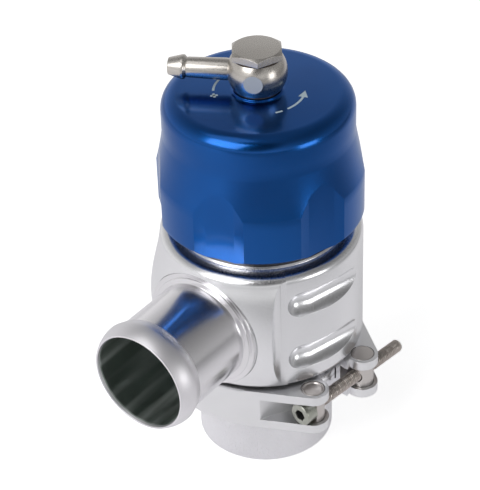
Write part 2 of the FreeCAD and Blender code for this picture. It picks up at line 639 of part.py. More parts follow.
# Inside: inlet cone, seat, chamber and guide bore
bodyInside = turned("BodyInside", [
    ("0", "jointHeight - cutOver"),
    ("inletBoreRadius", "jointHeight - cutOver"),
    ("inletBoreRadius", "jointHeight"),
    ("seatBoreRadius", "jointHeight + inletBoreRadius - seatBoreRadius"),
    ("seatBoreRadius", "seatHeight"),
    ("seatBoreRadius + seatWidth", "seatHeight"),
    ("seatBoreRadius + seatWidth", "chamberFloor"),
    ("chamberRadius", "chamberFloor"),
    ("chamberRadius", "chamberTop"),
    ("guideBoreRadius", "chamberTop"),
    ("guideBoreRadius", "neckTop + cutOver"),
    ("0", "neckTop + cutOver"),
])
bodyTools = [bodyInside]

# Outlet: port into the chamber, hole for the spigot and a round seat for the collar
for name, radius, start in (("Port", "portRadius", "0"), ("SpigotHole", "spigotRadius", "spigotEnd"),
                            ("CollarSeat", "collarRadius + collarPlay", "collarSeat")):
    bore = cylinder("Outlet" + name, radius, "bossRadius")
    place(bore, x=start, z="outletHeight", turn="90", axis=("0", "1", "0"))
    bodyTools.append(bore)

for side in (-1, 1):
    runOut = cylinder("RunOut%s" % "LR"[side > 0], "runOutRadius", "2 * bodyHeight")
    place(runOut, x="runOutReach * cos(runOutAzimuth)", y="%d * runOutReach * sin(runOutAzimuth)" % side,
          z="bodyBottom - bodyHeight / 2")
    bodyTools.append(runOut)

# Finger grooves: a ball cutter runs straight along two facets, twice on each side
for side in (-1, 1):
    for level in (-1, 1):
        tag = "LR"[side > 0] + "12"[level > 0]
        height = "bodyMiddle + %d * fingerSpacing / 2" % level
        ball = doc.addObject("Part::Sphere", "FingerStart" + tag)
        bind(ball, Radius="fingerCutter")
        place(ball, x="fingerPath / cos(fingerLead) * cos(fingerStart)",
              y="%d * fingerPath / cos(fingerLead) * sin(fingerStart)" % side, z=height)
        bodyTools.append(ball)
        # The short facet runs from the ball to past the crease, the long one from the crease outwards
        short = cylinder("FingerShort" + tag, "fingerCutter",
                         "fingerPath * (tan(fingerTurn) - tan(fingerLead))")
        long = cylinder("FingerLong" + tag, "fingerCutter", "2 * bodyRadius")
        for facet, azimuth, start in ((short, "fingerAzimuth - fingerTurn", "fingerLead"),
                                      (long, "fingerAzimuth", "-fingerTurn / 2")):
            along = "fingerPath * tan(%s)" % start
            place(facet, x="fingerPath * cos(%s) - %s * sin(%s)" % (azimuth, along, azimuth),
                  y="%d * (fingerPath * sin(%s) + %s * cos(%s))" % (side, azimuth, along, azimuth),
                  z=height, turn="90",
                  axis=("%d * -cos(%s)" % (side, azimuth), "-sin(%s)" % azimuth, "0"))
            bodyTools.append(facet)

keep(cut("valve_body", fused("BodyOutside", [bodyTurned, boss]), bodyTools))
keep(torus("cap_seal", "neckRadius - capSealSection / 2", "capSealSection", "capSealHeight"))

# Outlet tube: spigot, collar, hose tail and bead, about its own axis along X
outletTube = keep(turned("outlet_tube", [
    ("spigotEnd", "outletBoreRadius"),
    ("spigotEnd", "spigotRadius"),
    ("outletSealEnd - outletSealSection", "spigotRadius"),
    ("outletSealEnd - outletSealSection", "spigotRadius - outletSealSection"),
    ("outletSealEnd", "spigotRadius - outletSealSection"),
    ("outletSealEnd", "spigotRadius"),
    ("collarSeat", "spigotRadius"),
    ("collarSeat", "collarRadius"),
    ("collarEnd - collarRounding", "collarRadius"),
    ("via", "collarEnd - collarRounding * (1 - sin(45))", "collarRadius - collarRounding * (1 - cos(45))"),
    ("collarEnd", "collarRadius - collarRounding"),
    ("collarEnd", "stepRadius"),
    ("collarEnd + stepLength - stepTaper", "stepRadius"),
    ("collarEnd + stepLength", "outletTubeRadius"),
    ("outletReach - beadLength", "outletTubeRadius"),
    ("outletReach - beadLength", "outletTubeRadius + beadShoulder"),
    ("outletReach - beadPeak", "beadRadius"),
    ("via", "outletReach - beadNose", "beadRadius - beadNoseDrop"),
    ("outletReach", "mouthRadius"),
    ("outletReach", "outletBoreRadius + mouthFlare"),
    ("outletReach - mouthFlareLength", "outletBoreRadius"),
], axis="H_Axis"))
place(outletTube, z="outletHeight")
outletSeal = torus("outlet_seal", "spigotRadius - outletSealSection / 2", "outletSealSection", "0")
place(outletSeal, x="outletSealEnd - outletSealSection / 2", z="outletHeight", turn="90", axis=("0", "1", "0"))
keep(outletSeal)

# Piston: cup with two ring grooves and a seal on its face
keep(turned("piston", [
    ("0", "pistonBottom"),
    ("seatBoreRadius - faceGap", "pistonBottom"),
    ("seatBoreRadius - faceGap", "pistonBottom + seatSealHeight - seatSealProud"),
    ("seatBoreRadius + seatWidth", "pistonBottom + seatSealHeight - seatSealProud"),
    ("seatBoreRadius + seatWidth", "pistonBottom"),
    ("pistonRadius", "pistonBottom"),
    ("pistonRadius", "guideRingBottom"),
    ("ringInner", "guideRingBottom"),
    ("ringInner", "guideRingBottom + guideRingHeight"),
    ("pistonRadius", "guideRingBottom + guideRingHeight"),
    ("pistonRadius", "pistonSealBottom"),
    ("ringInner", "pistonSealBottom"),
    ("ringInner", "pistonSealBottom + pistonSealHeight"),
    ("pistonRadius", "pistonSealBottom + pistonSealHeight"),
    ("pistonRadius", "pistonTop"),
    ("pistonRadius - pistonWall", "pistonTop"),
    ("pistonRadius - pistonWall", "springBottom"),
    ("0", "springBottom"),
]))
keep(ring("piston_guide_ring", "ringInner", "ringOuter", "guideRingBottom", "guideRingHeight"))
keep(ring("piston_seal", "ringInner", "ringOuter", "pistonSealBottom", "pistonSealHeight"))
keep(ring("seat_seal", "seatBoreRadius - faceGap", "seatBoreRadius + seatWidth",
          "pistonBottom - seatSealProud", "seatSealHeight"))

# Return spring: round wire on a helix, turn by turn, between the piston's floor and the spring seat
coil = doc.addObject("Part::Helix", "SpringPath")
bind(coil, Pitch="springFree / springTurns", Height="springFree", Radius="springRadius - springWire / 2")
coil.SegmentLength = 1
place(coil, z="springBottom + springWire / 2 + faceGap")
wire = doc.addObject("Part::Circle", "SpringWire")
bind(wire, Radius="springWire / 2")
place(wire, x="springRadius - springWire / 2", z="springBottom + springWire / 2 + faceGap",
      turn="90", axis=("1", "0", "0"))
spring = doc.addObject("Part::Sweep", "ReturnSpring")
spring.Label = "return_spring"
spring.Sections = [wire]
spring.Spine = (coil, [])
spring.Solid = True
spring.Frenet = True
keep(spring)

# Spring seat and thrust washer under the cap's inner boss
keep(turned("spring_seat", [
    ("boltRadius", "springTop"),
    ("springSeatRadius", "springTop"),
    ("springSeatRadius", "springSeatTop"),
    ("springCollarOuter", "springSeatTop"),
    ("springCollarOuter", "springSeatTop + springSeatCollarHeight"),
    ("springCollarInner", "springSeatTop + springSeatCollarHeight"),
    ("springCollarInner", "springSeatTop"),
    ("boltRadius", "springSeatTop"),
]))
keep(ring("thrust_washer", "boltRadius", "innerBossRadius", "springSeatTop", "washerThickness"))

# Adjuster cap: turned cup with six scallops round its grip
capTurned = turned("CapTurned", [
    ("capBore", "capBottom"),
    ("capRadius - capEdge", "capBottom"),
    ("capRadius", "capBottom + capEdge"),
    ("capRadius", "capBottom + capGripHeight"),
    ("via", "(capRadius + capWaistRadius) / 2 - capFlareSag",
     "capBottom + (capGripHeight + capWaistHeight) / 2"),
    ("capWaistRadius", "capBottom + capWaistHeight"),
    ("capWaistRadius", "capTop - capRounding"),
    ("via", "capWaistRadius - capRounding * (1 - sin(45))", "capTop - capRounding * (1 - cos(45))"),
    ("capWaistRadius - capRounding", "capTop"),
    ("capBossRadius + capBossHeight / 2", "capTop"),
    ("capBossRadius", "capTop + capBossHeight / 2"),
    ("capBossRadius", "capBossTop"),
    ("boltRadius", "capBossTop"),
    ("boltRadius", "innerBossEnd"),
    ("innerBossRadius", "innerBossEnd"),
    ("innerBossRadius", "roofHeight"),
    ("capBore", "roofHeight"),
])
capTurned.Label = "adjuster_cap"
scallopSketch = newSketch(capTurned, "XY_Plane", "Scallop")
scallopSketch.addGeometry(Part.Circle(
    FreeCAD.Vector(number("(scallopFloor + scallopRadius) * cos(scallopAzimuth)"),
                   number("(scallopFloor + scallopRadius) * sin(scallopAzimuth)"), 0),
    FreeCAD.Vector(0, 0, 1), number("scallopRadius")), False)
radius = scallopSketch.addConstraint(Sketcher.Constraint("Radius", 0, number("scallopRadius")))
scallopSketch.setExpression("Constraints[%d]" % radius, tied("scallopRadius"))
fixPoint(scallopSketch, 0, 3, ("(scallopFloor + scallopRadius) * cos(scallopAzimuth)",
                               "(scallopFloor + scallopRadius) * sin(scallopAzimuth)"))
scallop = capTurned.newObject("PartDesign::Pocket", "ScallopCut")
scallop.Profile = scallopSketch
scallop.Type = "Length"
scallop.Reversed = True
scallop.setExpression("Length", tied("capTop"))
scallopSketch.Visibility = False
doc.recompute()
scallops = capTurned.newObject("PartDesign::PolarPattern", "Scallops")
scallops.Originals = [scallop]
scallops.Axis = (scallopSketch, ["N_Axis"])
scallops.Angle = 360
scallops.setExpression("Occurrences", tied("scallopCount"))
capTurned.Tip = scallops
keep(capTurned)

# Signal fitting: banjo ball, nipple, bolt and washers
keep(ring("banjo_washer_lower", "boltRadius", "capBossRadius - capBossHeight", "capBossTop",
          "sealWasherThickness"))
keep(ring("banjo_washer_upper", "boltRadius", "boltHeadTop", "headBottom - headWasherThickness",
          "headWasherThickness"))
flatRadius = "sqrt(ballRadius ^ 2 - (ballHeight / 2) ^ 2)"
ballBore = "boltRadius + capPlay / 2"
galleryRadius = "boltRadius + nippleBore"
ballTurned = turned("BallTurned", [
    (ballBore, "-ballHeight / 2"),
    (flatRadius, "-ballHeight / 2"),
    ("via", "ballRadius", "0"),
    (flatRadius, "ballHeight / 2"),
    (ballBore, "ballHeight / 2"),
    (ballBore, "ballGallery / 2"),
    (galleryRadius, "ballGallery / 2"),
    (galleryRadius, "-ballGallery / 2"),
    (ballBore, "-ballGallery / 2"),
])
ballTools = []
for side in (-1, 1):
    slab = block("BallSpot%s" % "LR"[side > 0], "2 * ballRadius", "ballRadius", "2 * ballRadius")
    reach = "sqrt(ballRadius ^ 2 - ballSpot ^ 2)"
    place(slab, x="-ballRadius", y=reach if side > 0 else "-ballRadius - %s" % reach, z="-ballRadius")
    ballTools.append(slab)
socket = cylinder("NippleSocket", "nippleRadius", "ballRadius")
place(socket, x="nippleRoot", turn="90", axis=("0", "1", "0"))
gallery = cylinder("NippleGallery", "nippleBore", "ballRadius")
place(gallery, x="boltRadius", turn="90", axis=("0", "1", "0"))
ball = cut("banjo_fitting", ballTurned, ballTools + [socket, gallery])
place(ball, z="ballCentre", turn="nippleAzimuth")
keep(ball)
nipple = turned("banjo_nipple", [
    ("nippleRoot", "nippleBore"),
    ("nippleRoot", "nippleRadius"),
    ("nippleReach - barbLength - barbRise", "nippleRadius"),
    ("nippleReach - barbLength", "barbRadius"),
    ("nippleReach - barbLength + barbLand", "barbRadius"),
    ("nippleReach - tipLength", "tipRadius + tipChamfer"),
    ("nippleReach", "tipRadius - tipChamfer"),
    ("nippleReach", "nippleBore"),
], axis="H_Axis")
place(nipple, z="ballCentre", turn="nippleAzimuth")
keep(nipple)

hexagon = doc.addObject("Part::Prism", "BoltHexagon")
hexagon.Polygon = 6
bind(hexagon, Circumradius="boltHeadCorner", Height="boltHeadHeight")
place(hexagon, z="headBottom", turn="boltHeadAzimuth")
headRound = turned("BoltHeadRound", [
    ("0", "headBottom"), ("boltHeadCorner", "headBottom"),
    ("boltHeadCorner", "headBottom + boltHeadHeight - (boltHeadCorner - boltHeadTop) * tan(30)"),
    ("boltHeadTop", "headBottom + boltHeadHeight"), ("0", "headBottom + boltHeadHeight")])
boltHead = doc.addObject("Part::Common", "BoltHead")
boltHead.Base = hexagon
boltHead.Tool = headRound
shank = turned("BoltShank", [
    ("0", "boltEnd"), ("boltRadius", "boltEnd"),
    ("boltRadius", "headBottom"), ("0", "headBottom")])
boltDrill = cylinder("BoltDrill", "boltBore", "ballCentre + boltBore - boltEnd")
place(boltDrill, z="boltEnd")
boltCross = cylinder("BoltCross", "boltCross", "4 * boltRadius")
place(boltCross, x="-2 * boltRadius", z="ballCentre", turn="90", axis=("0", "1", "0"))
keep(cut("banjo_bolt", fused("BoltSolid", [boltHead, shank]), [boltDrill, boltCross]))

doc.recompute()

# Nothing is written unless every object computed and every sub-part is a sound solid
faults = [o.Name for o in doc.Objects if "Invalid" in o.State or "Error" in o.State]
for part in subParts:
    if part.Shape.isNull() or not part.Shape.isValid() or not part.Shape.Solids:
        faults.append(part.Label)
if faults:
    raise RuntimeError("these did not come out whole: " + ", ".join(faults))

os.makedirs("parts", exist_ok=True)
for part in subParts:
    part.Shape.exportStep(os.path.join("parts", part.Label + ".step"))
    box = part.Shape.BoundBox
    print("%-20s %2d solids %9.1f mm3  x %7.2f..%6.2f  y %7.2f..%6.2f  z %6.2f..%6.2f" % (
        part.Label, len(part.Shape.Solids), part.Shape.Volume,
        box.XMin, box.XMax, box.YMin, box.YMax, box.ZMin, box.ZMax))
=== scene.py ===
import math

import bmesh
import bpy
from mathutils import Matrix, Vector


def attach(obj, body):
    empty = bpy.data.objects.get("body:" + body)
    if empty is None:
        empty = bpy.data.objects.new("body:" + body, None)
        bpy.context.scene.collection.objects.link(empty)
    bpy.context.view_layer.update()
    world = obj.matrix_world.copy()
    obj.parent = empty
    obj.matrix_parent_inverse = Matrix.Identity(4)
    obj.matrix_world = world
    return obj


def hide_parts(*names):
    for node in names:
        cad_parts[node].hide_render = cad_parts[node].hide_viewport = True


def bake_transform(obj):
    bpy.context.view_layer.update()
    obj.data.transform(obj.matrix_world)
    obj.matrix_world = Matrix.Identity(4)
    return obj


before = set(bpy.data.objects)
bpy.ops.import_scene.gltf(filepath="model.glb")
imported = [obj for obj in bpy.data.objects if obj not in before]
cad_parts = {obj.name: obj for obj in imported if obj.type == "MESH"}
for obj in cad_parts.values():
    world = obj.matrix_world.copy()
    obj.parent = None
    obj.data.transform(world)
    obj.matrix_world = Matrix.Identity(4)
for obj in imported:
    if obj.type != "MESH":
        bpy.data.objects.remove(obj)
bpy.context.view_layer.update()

# Sizes below are in millimetres and degrees, as on a workshop drawing; meshes are in metres
mm = 0.001
tiny = 1e-6  # a size or angle below this is none
mergeDistance = 2e-7  # metres


# A new object in the scene
def linked(name, data):
    piece = bpy.data.objects.new(name, data)
    bpy.context.collection.objects.link(piece)
    return piece


# Camera: a long lens, above and to the right of the outlet
cameraView = {
    "azimuth": 127.5, "pitch": 35.6, "roll": -1.98, "distance": 707.5,
    "target": (-7.98, 0.0, 83.1), "focalPixels": 1942.3, "imageHeight": 490, "sensor": 36.0,
}


def addCamera(view):
    pitch, roll = math.radians(view["pitch"]), math.radians(view["roll"])
    back = Vector((0, -math.cos(pitch), math.sin(pitch)))
    side, up = Vector((1, 0, 0)), Vector((0, math.sin(pitch), math.cos(pitch)))
    right = side * math.cos(roll) + up * math.sin(roll)
    top = up * math.cos(roll) - side * math.sin(roll)
    pose = Matrix((right, top, back)).transposed().to_4x4()
    pose.translation = (Vector(view["target"]) + back * view["distance"]) * mm
    data = bpy.data.cameras.new("camera")
    data.sensor_width = view["sensor"]
    data.lens = view["focalPixels"] * view["sensor"] / view["imageHeight"]
    camera = linked("camera", data)
    camera.matrix_world = Matrix.Rotation(math.radians(view["azimuth"]), 4, "Z") @ pose
    bpy.context.scene.camera = camera


addCamera(cameraView)
print("camera set")


# Outlines are lists of (across, along) points; a third number rounds that corner
def arc(centre, radius, start, end, steps):
    turn = math.radians(end - start) / steps
    first = math.radians(start)
    angles = [first + turn * k for k in range(steps + 1)]
    return [(centre[0] + radius * math.cos(a), centre[1] + radius * math.sin(a)) for a in angles]


# Points on the arc through three points
def bend(start, through, end, steps):
    a, b, c = (Vector(p) for p in (start, through, end))
    aa, bb, cc = (p.length_squared for p in (a, b, c))
    d = 2 * (a.x * (b.y - c.y) + b.x * (c.y - a.y) + c.x * (a.y - b.y))
    x = (aa * (b.y - c.y) + bb * (c.y - a.y) + cc * (a.y - b.y)) / d
    y = (aa * (c.x - b.x) + bb * (a.x - c.x) + cc * (b.x - a.x)) / d
    centre = Vector((x, y))
    first, last = (math.atan2(p.y - y, p.x - x) for p in (a, c))
    sweep = (last - first + math.pi) % math.tau - math.pi
    return arc(centre, (a - centre).length, math.degrees(first), math.degrees(first + sweep), steps)


# The outline with its corners rounded
def softened(corners, closed=True):
    points = []
    count = len(corners)
    for k, corner in enumerate(corners):
        here = Vector(corner[:2])
        rounding = corner[2] if len(corner) > 2 else 0
        if not rounding or (not closed and k in (0, count - 1)):
            points.append(tuple(here))
            continue
        before = Vector(corners[k - 1][:2]) - here
        after = Vector(corners[(k + 1) % count][:2]) - here
        half = before.angle(after) / 2
        reach = min(rounding / math.tan(half), before.length * 0.49, after.length * 0.49)
        radius = reach * math.tan(half)
        centre = here + (before.normalized() + after.normalized()).normalized() * (radius / math.sin(half))
        start, end = here + before.normalized() * reach, here + after.normalized() * reach
        first = math.atan2(start.y - centre.y, start.x - centre.x)
        last = math.atan2(end.y - centre.y, end.x - centre.x)
        sweep = (last - first + math.pi) % math.tau - math.pi
        steps = max(2, round(abs(math.degrees(sweep)) / 11))
        points += arc(centre, radius, math.degrees(first), math.degrees(first + sweep), steps)
    return points


# Solids: doubles merged, faces outwards
def objectFrom(bm, name):
    bmesh.ops.remove_doubles(bm, verts=bm.verts, dist=mergeDistance)
    bmesh.ops.recalc_face_normals(bm, faces=bm.faces)
    mesh = bpy.data.meshes.new(name)
    bm.to_mesh(mesh)
    bm.free()
    return linked(name, mesh)


# A solid turned about Z from a closed outline of (radius, height)
def lathe(name, outline, steps=240, sweep=360.0, start=0.0):
    bm = bmesh.new()
    whole = abs(sweep - 360) < tiny
    columns = steps if whole else steps + 1
    angles = [math.radians(start + sweep * k / steps) for k in range(columns)]
    rings = []
    for r, z in outline:
        if r < tiny:
            rings.append([bm.verts.new((0, 0, z * mm))] * columns)
        else:
            spots = [(r * math.cos(a) * mm, r * math.sin(a) * mm, z * mm) for a in angles]
            rings.append([bm.verts.new(spot) for spot in spots])
    for a, b in zip(rings, rings[1:] + rings[:1]):
        for k in range(steps):
            n = (k + 1) % columns
            corners = list(dict.fromkeys((a[k], a[n], b[n], b[k])))
            if len(corners) > 2:
                bm.faces.new(corners)
    if not whole:
        for k in (0, -1):
            bm.faces.new(list(dict.fromkeys(ring[k] for ring in rings)))
    return objectFrom(bm, name)


# A closed outline of (x, y), raised from low to high
def prism(name, outline, low, high):
    bm = bmesh.new()
    floor = [bm.verts.new((x * mm, y * mm, low * mm)) for x, y in outline]
    roof = [bm.verts.new((x * mm, y * mm, high * mm)) for x, y in outline]
    bm.faces.new(floor)
    bm.faces.new(roof)
    for k in range(len(outline)):
        n = (k + 1) % len(outline)
        bm.faces.new((floor[k], floor[n], roof[n], roof[k]))
    return objectFrom(bm, name)


def rod(name, radius, low, high, steps=96):
    return prism(name, arc((0, 0), radius, 0, 360 - 360 / steps, steps - 1), low, high)


def box(name, low, high):
    return prism(name, [(low[0], low[1]), (high[0], low[1]), (high[0], high[1]), (low[0], high[1])],
                 low[2], high[2])


def ball(name, radius, centre):
    bm = bmesh.new()
    bmesh.ops.create_icosphere(bm, subdivisions=5, radius=radius * mm)
    bmesh.ops.translate(bm, verts=bm.verts, vec=Vector(centre) * mm)
    return objectFrom(bm, name)


# Turns a piece about an axis through the origin, then moves it, in its mesh
def moved(piece, move=(0, 0, 0), axis="Z", turn=0.0):
    turned = Matrix.Rotation(math.radians(turn), 4, axis if isinstance(axis, str) else Vector(axis))
    piece.data.transform(Matrix.Translation(Vector(move) * mm) @ turned)
    return piece


# The piece with its modifiers applied
def plain(piece):
    bpy.context.view_layer.update()
    mesh = bpy.data.meshes.new_from_object(piece.evaluated_get(bpy.context.evaluated_depsgraph_get()))
    piece.modifiers.clear()
    piece.data = mesh
    return piece


# Cuts the tools out of a piece, or joins them to it, and removes them
def combined(piece, tools, operation="DIFFERENCE"):
    for tool in tools:
        step = piece.modifiers.new("step", "BOOLEAN")
        step.solver = "EXACT"
        step.operation = operation
        step.object = tool
    plain(piece)
    for tool in tools:
        bpy.data.objects.remove(tool)
    return piece


# Smooth shading with crisp edges, the finish, and what the piece rides on and stands for
def finished(piece, body, finish, nodes=(), crease=28.0):
    piece.data.shade_smooth()
    piece.data.set_sharp_from_angle(angle=math.radians(crease))
    piece.data.materials.clear()
    piece.data.materials.append(finishes[finish])
    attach(piece, body)
    if nodes:
        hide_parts(*nodes)
    return piece


# Finishes
def newMaterial(name):
    material = bpy.data.materials.new(name)
    material.use_nodes = True
    tree = material.node_tree
    place = addNode(tree, "ShaderNodeTexCoord").outputs["Object"]
    return material, tree, tree.nodes["Principled BSDF"], place


# Links sockets to a node's inputs, and sets plain values on the rest
def feed(tree, node, inputs):
    for key, value in inputs.items():
        if isinstance(value, bpy.types.NodeSocket):
            tree.links.new(value, node.inputs[key])
        else:
            node.inputs[key].default_value = value


def addNode(tree, kind, inputs=None, **settings):
    node = tree.nodes.new(kind)
    for key, value in settings.items():
        setattr(node, key, value)
    feed(tree, node, inputs or {})
    return node


def math2(tree, operation, a, b=0.0):
    return addNode(tree, "ShaderNodeMath", {0: a, 1: b}, operation=operation).outputs[0]


def vector2(tree, operation, a, b):
    node = addNode(tree, "ShaderNodeVectorMath", {0: a, 1: b}, operation=operation)
    return node.outputs["Value" if operation == "DOT_PRODUCT" else "Vector"]


def ramp(tree, factor, low, high, fromLow=0.3, fromHigh=0.7):
    return addNode(tree, "ShaderNodeMapRange", {"Value": factor, "From Min": fromLow, "From Max": fromHigh,
                                                "To Min": low, "To Max": high}).outputs["Result"]


# Between two numbers, or between two colours of three numbers each
def mixed(tree, factor, first, second, kind="RGBA"):
    low, high, result = {"FLOAT": (2, 3, 0), "RGBA": (6, 7, 2)}[kind]
    first, second = ((*value, 1) if isinstance(value, tuple) else value for value in (first, second))
    return addNode(tree, "ShaderNodeMix", {"Factor": factor, low: first, high: second},
                   data_type=kind).outputs[result]


def noise(tree, place, scale, detail=2.0, **settings):
    return addNode(tree, "ShaderNodeTexNoise", {"Vector": place, "Scale": scale, "Detail": detail},
                   **settings).outputs["Fac"]


def bumped(tree, height, strength, depth, normal=None):
    inputs = {"Height": height, "Strength": strength, "Distance": depth * mm}
    if normal:
        inputs["Normal"] = normal
    return addNode(tree, "ShaderNodeBump", inputs).outputs[0]


# The shading with edges broken by this radius
def brokenEdges(tree, radius):
    return addNode(tree, "ShaderNodeBevel", {"Radius": radius * mm}, samples=6).outputs[0]


# Distance from an axis, place along it, and both as coordinates for turning lines
def turningLines(tree, place, axis, centre):
    local = vector2(tree, "SUBTRACT", place, tuple(c * mm for c in centre))
    parts = addNode(tree, "ShaderNodeSeparateXYZ", {0: local}).outputs
    squares = [math2(tree, "MULTIPLY", parts[k], parts[k]) for k in "XYZ" if k != axis]
    distance, along = math2(tree, "SQRT", math2(tree, "ADD", *squares)), parts[axis]
    return distance, along, addNode(tree, "ShaderNodeCombineXYZ", {0: distance, 1: along}).outputs[0]


# Scales are in patches per metre, depths in millimetres
metalTexture = {"toneScale": 45.0, "toneDetail": 3.0, "grainDepth": 0.02, "lineDepth": 0.05}
metalFinishes = {
    # light tone, dark tone, roughness, grain size and strength, line pitch and strength, edge radius
    "bodySatin": ((0.88, 0.88, 0.90), (0.83, 0.83, 0.85), (0.20, 0.29), (0.22, 0.12), (0.25, 0.03), 0.30),
    "outletPolished": (
        (0.86, 0.84, 0.875), (0.79, 0.785, 0.8), (0.15, 0.27), (0.2, 0.16), (0.22, 0.05), 0.25),
    "adapterBrushed": ((0.88, 0.875, 0.9), (0.8, 0.795, 0.82), (0.2, 0.3), (0.3, 0.05), (0.3, 0.12), 0.15),
    "clampSatin": ((0.87, 0.87, 0.885), (0.81, 0.81, 0.825), (0.28, 0.38), (0.25, 0.10), (0.3, 0.06), 0.25),
    "nickel": ((0.64, 0.61, 0.575), (0.53, 0.50, 0.465), (0.22, 0.32), (0.2, 0.06), (0.25, 0.04), 0.15),
    "screwSteel": ((0.66, 0.60, 0.57), (0.52, 0.46, 0.43), (0.36, 0.46), (0.18, 0.08), (0.2, 0.0), 0.1),
    "trunnionSteel": ((0.68, 0.65, 0.63), (0.58, 0.54, 0.52), (0.28, 0.36), (0.2, 0.1), (0.2, 0.05), 0.15),
    "headSteel": ((0.52, 0.53, 0.48), (0.42, 0.43, 0.38), (0.24, 0.34), (0.2, 0.08), (0.2, 0.0), 0.15),
    "pistonMetal": ((0.25, 0.26, 0.27), (0.18, 0.19, 0.20), (0.35, 0.5), (0.3, 0.1), (0.3, 0.08), 0.2),
    "springSteel": ((0.50, 0.50, 0.52), (0.40, 0.40, 0.42), (0.3, 0.4), (0.3, 0.1), (0.3, 0.0), 0.0),
}
# What differs by place: the neck under the cap is painted near black as painted shade, the mouth is satin,
# the bore is painted darker as painted shade, with lighter streaks
metalPlaces = {
    "bodySatin": {"neck": {"radius": 31.3, "start": 95.2, "colour": (0.10, 0.10, 0.11)}},
    "outletPolished": {
        "axis": "X", "centre": (0, 0, 67.95), "mouth": {"start": 63.2, "fade": 0.4, "rough": 0.45},
        "bore": {"radius": 17.9, "dark": (0.42, 0.48, 0.445), "light": (0.85, 0.88, 0.86),
                 "rough": (0.32, 0.62), "stretch": (12.0, 170.0, 170.0), "streaks": (0.45, 0.78)}},
}


# Inside a bore the metal is painted darker as painted shade, broken by lighter streaks along the axis
def paintBoreShade(tree, place, distance, bore, tone, roughness):
    inside = math2(tree, "LESS_THAN", distance, bore["radius"] * mm)
    streaks = noise(tree, vector2(tree, "MULTIPLY", place, bore["stretch"]), 1.0)
    strength = ramp(tree, streaks, 0.0, 1.0, *bore["streaks"])
    boreShade = mixed(tree, strength, bore["dark"], bore["light"])
    streakRoughness = ramp(tree, strength, *bore["rough"], 0.0, 1.0)
    return mixed(tree, inside, tone, boreShade), mixed(tree, inside, roughness, streakRoughness, "FLOAT")


# Machined metal: broad tone changes, a fine grain, and turning lines round an axis
def metal(name, colour, dark, rough, grain, lines, edge, axis="Z", centre=(0, 0, 0), mouth=None, bore=None,
          neck=None):
    material, tree, shader, place = newMaterial(name)
    t = metalTexture
    patches = noise(tree, place, t["toneScale"], t["toneDetail"])
    tone = mixed(tree, ramp(tree, patches, 0.0, 1.0), dark, colour)
    grainNoise = noise(tree, place, 1 / (grain[0] * mm))
    roughness = ramp(tree, grainNoise, *rough)
    distance, along, rings = turningLines(tree, place, axis, centre)
    if mouth:
        satin = ramp(tree, along, 0.0, 1.0, (mouth["start"] - mouth["fade"]) * mm, mouth["start"] * mm)
        roughness = mixed(tree, satin, roughness, mouth["rough"], "FLOAT")
    # Painted shade inside the outlet's bore
    if bore:
        tone, roughness = paintBoreShade(tree, place, distance, bore, tone, roughness)
    # Painted shade: the neck under the cap's skirt is painted near black
    if neck:
        paintedNeckShade = math2(tree, "MULTIPLY", math2(tree, "LESS_THAN", distance, neck["radius"] * mm),
                       math2(tree, "GREATER_THAN", along, neck["start"] * mm))
        tone = mixed(tree, paintedNeckShade, tone, neck["colour"])
    normal = brokenEdges(tree, edge) if edge else None
    normal = bumped(tree, grainNoise, grain[1], t["grainDepth"], normal)
    if lines[1]:
        lineNoise = noise(tree, rings, 1 / (lines[0] * mm), noise_dimensions="2D")
        normal = bumped(tree, lineNoise, lines[1], t["lineDepth"], normal)
    feed(tree, shader, {"Base Color": tone, "Roughness": roughness, "Metallic": 1.0, "Normal": normal})
    return material


finishes = {name: metal(name, *values, **metalPlaces.get(name, {}))
            for name, values in metalFinishes.items()}

# Blue dyed anodising: a tinted metal under a thin clear layer
blueDye = {
    "colour": (0.005, 0.094, 0.365), "dark": (0.003, 0.072, 0.295), "rough": (0.19, 0.26), "toneScale": 30.0,
    "grainScale": 4000.0, "grain": 0.05, "grainDepth": 0.02, "edge": 0.35,
    "tint": (0.80, 0.88, 1.0), "coat": 0.3, "coatRoughness": 0.10,
}


def anodised(name, dye):
    material, tree, shader, place = newMaterial(name)
    patches = noise(tree, place, dye["toneScale"])
    tone = mixed(tree, ramp(tree, patches, 0.0, 1.0), dye["dark"], dye["colour"])
    grainNoise = noise(tree, place, dye["grainScale"])
    normal = bumped(tree, grainNoise, dye["grain"], dye["grainDepth"], brokenEdges(tree, dye["edge"]))
    feed(tree, shader, {
        "Base Color": tone, "Metallic": 1.0, "Roughness": ramp(tree, grainNoise, *dye["rough"]),
        "Specular Tint": (*dye["tint"], 1), "Coat Weight": dye["coat"],
        "Coat Roughness": dye["coatRoughness"], "Normal": normal})
    return material


finishes["capBlue"] = anodised("capBlue", blueDye)

# Rubber, plastic, fibre and etched or ground spots: light and dark tone, roughness
softTexture = {"scale": 2500.0, "detail": 3.0, "strength": 0.3, "depth": 0.03}
softFinishes = {
    "groundSpot": ((0.46, 0.50, 0.58), (0.36, 0.40, 0.46), 0.4),
    "sealRubber": ((0.035, 0.035, 0.036), (0.015, 0.015, 0.015), 0.55),
    "guidePlastic": ((0.56, 0.46, 0.34), (0.42, 0.34, 0.25), 0.5),
    "washerFibre": ((0.16, 0.12, 0.10), (0.08, 0.06, 0.05), 0.6),
    "etchedWhite": ((0.55, 0.66, 0.72), (0.40, 0.52, 0.60), 0.45),
}


def softStuff(name, colour, dark, roughness):
    material, tree, shader, place = newMaterial(name)
    t = softTexture
    patches = noise(tree, place, t["scale"], t["detail"])
    feed(tree, shader, {"Base Color": mixed(tree, patches, dark, colour), "Roughness": roughness,
                        "Normal": bumped(tree, patches, t["strength"], t["depth"])})
    return material


for name, values in softFinishes.items():
    finishes[name] = softStuff(name, *values)
print("finishes made")


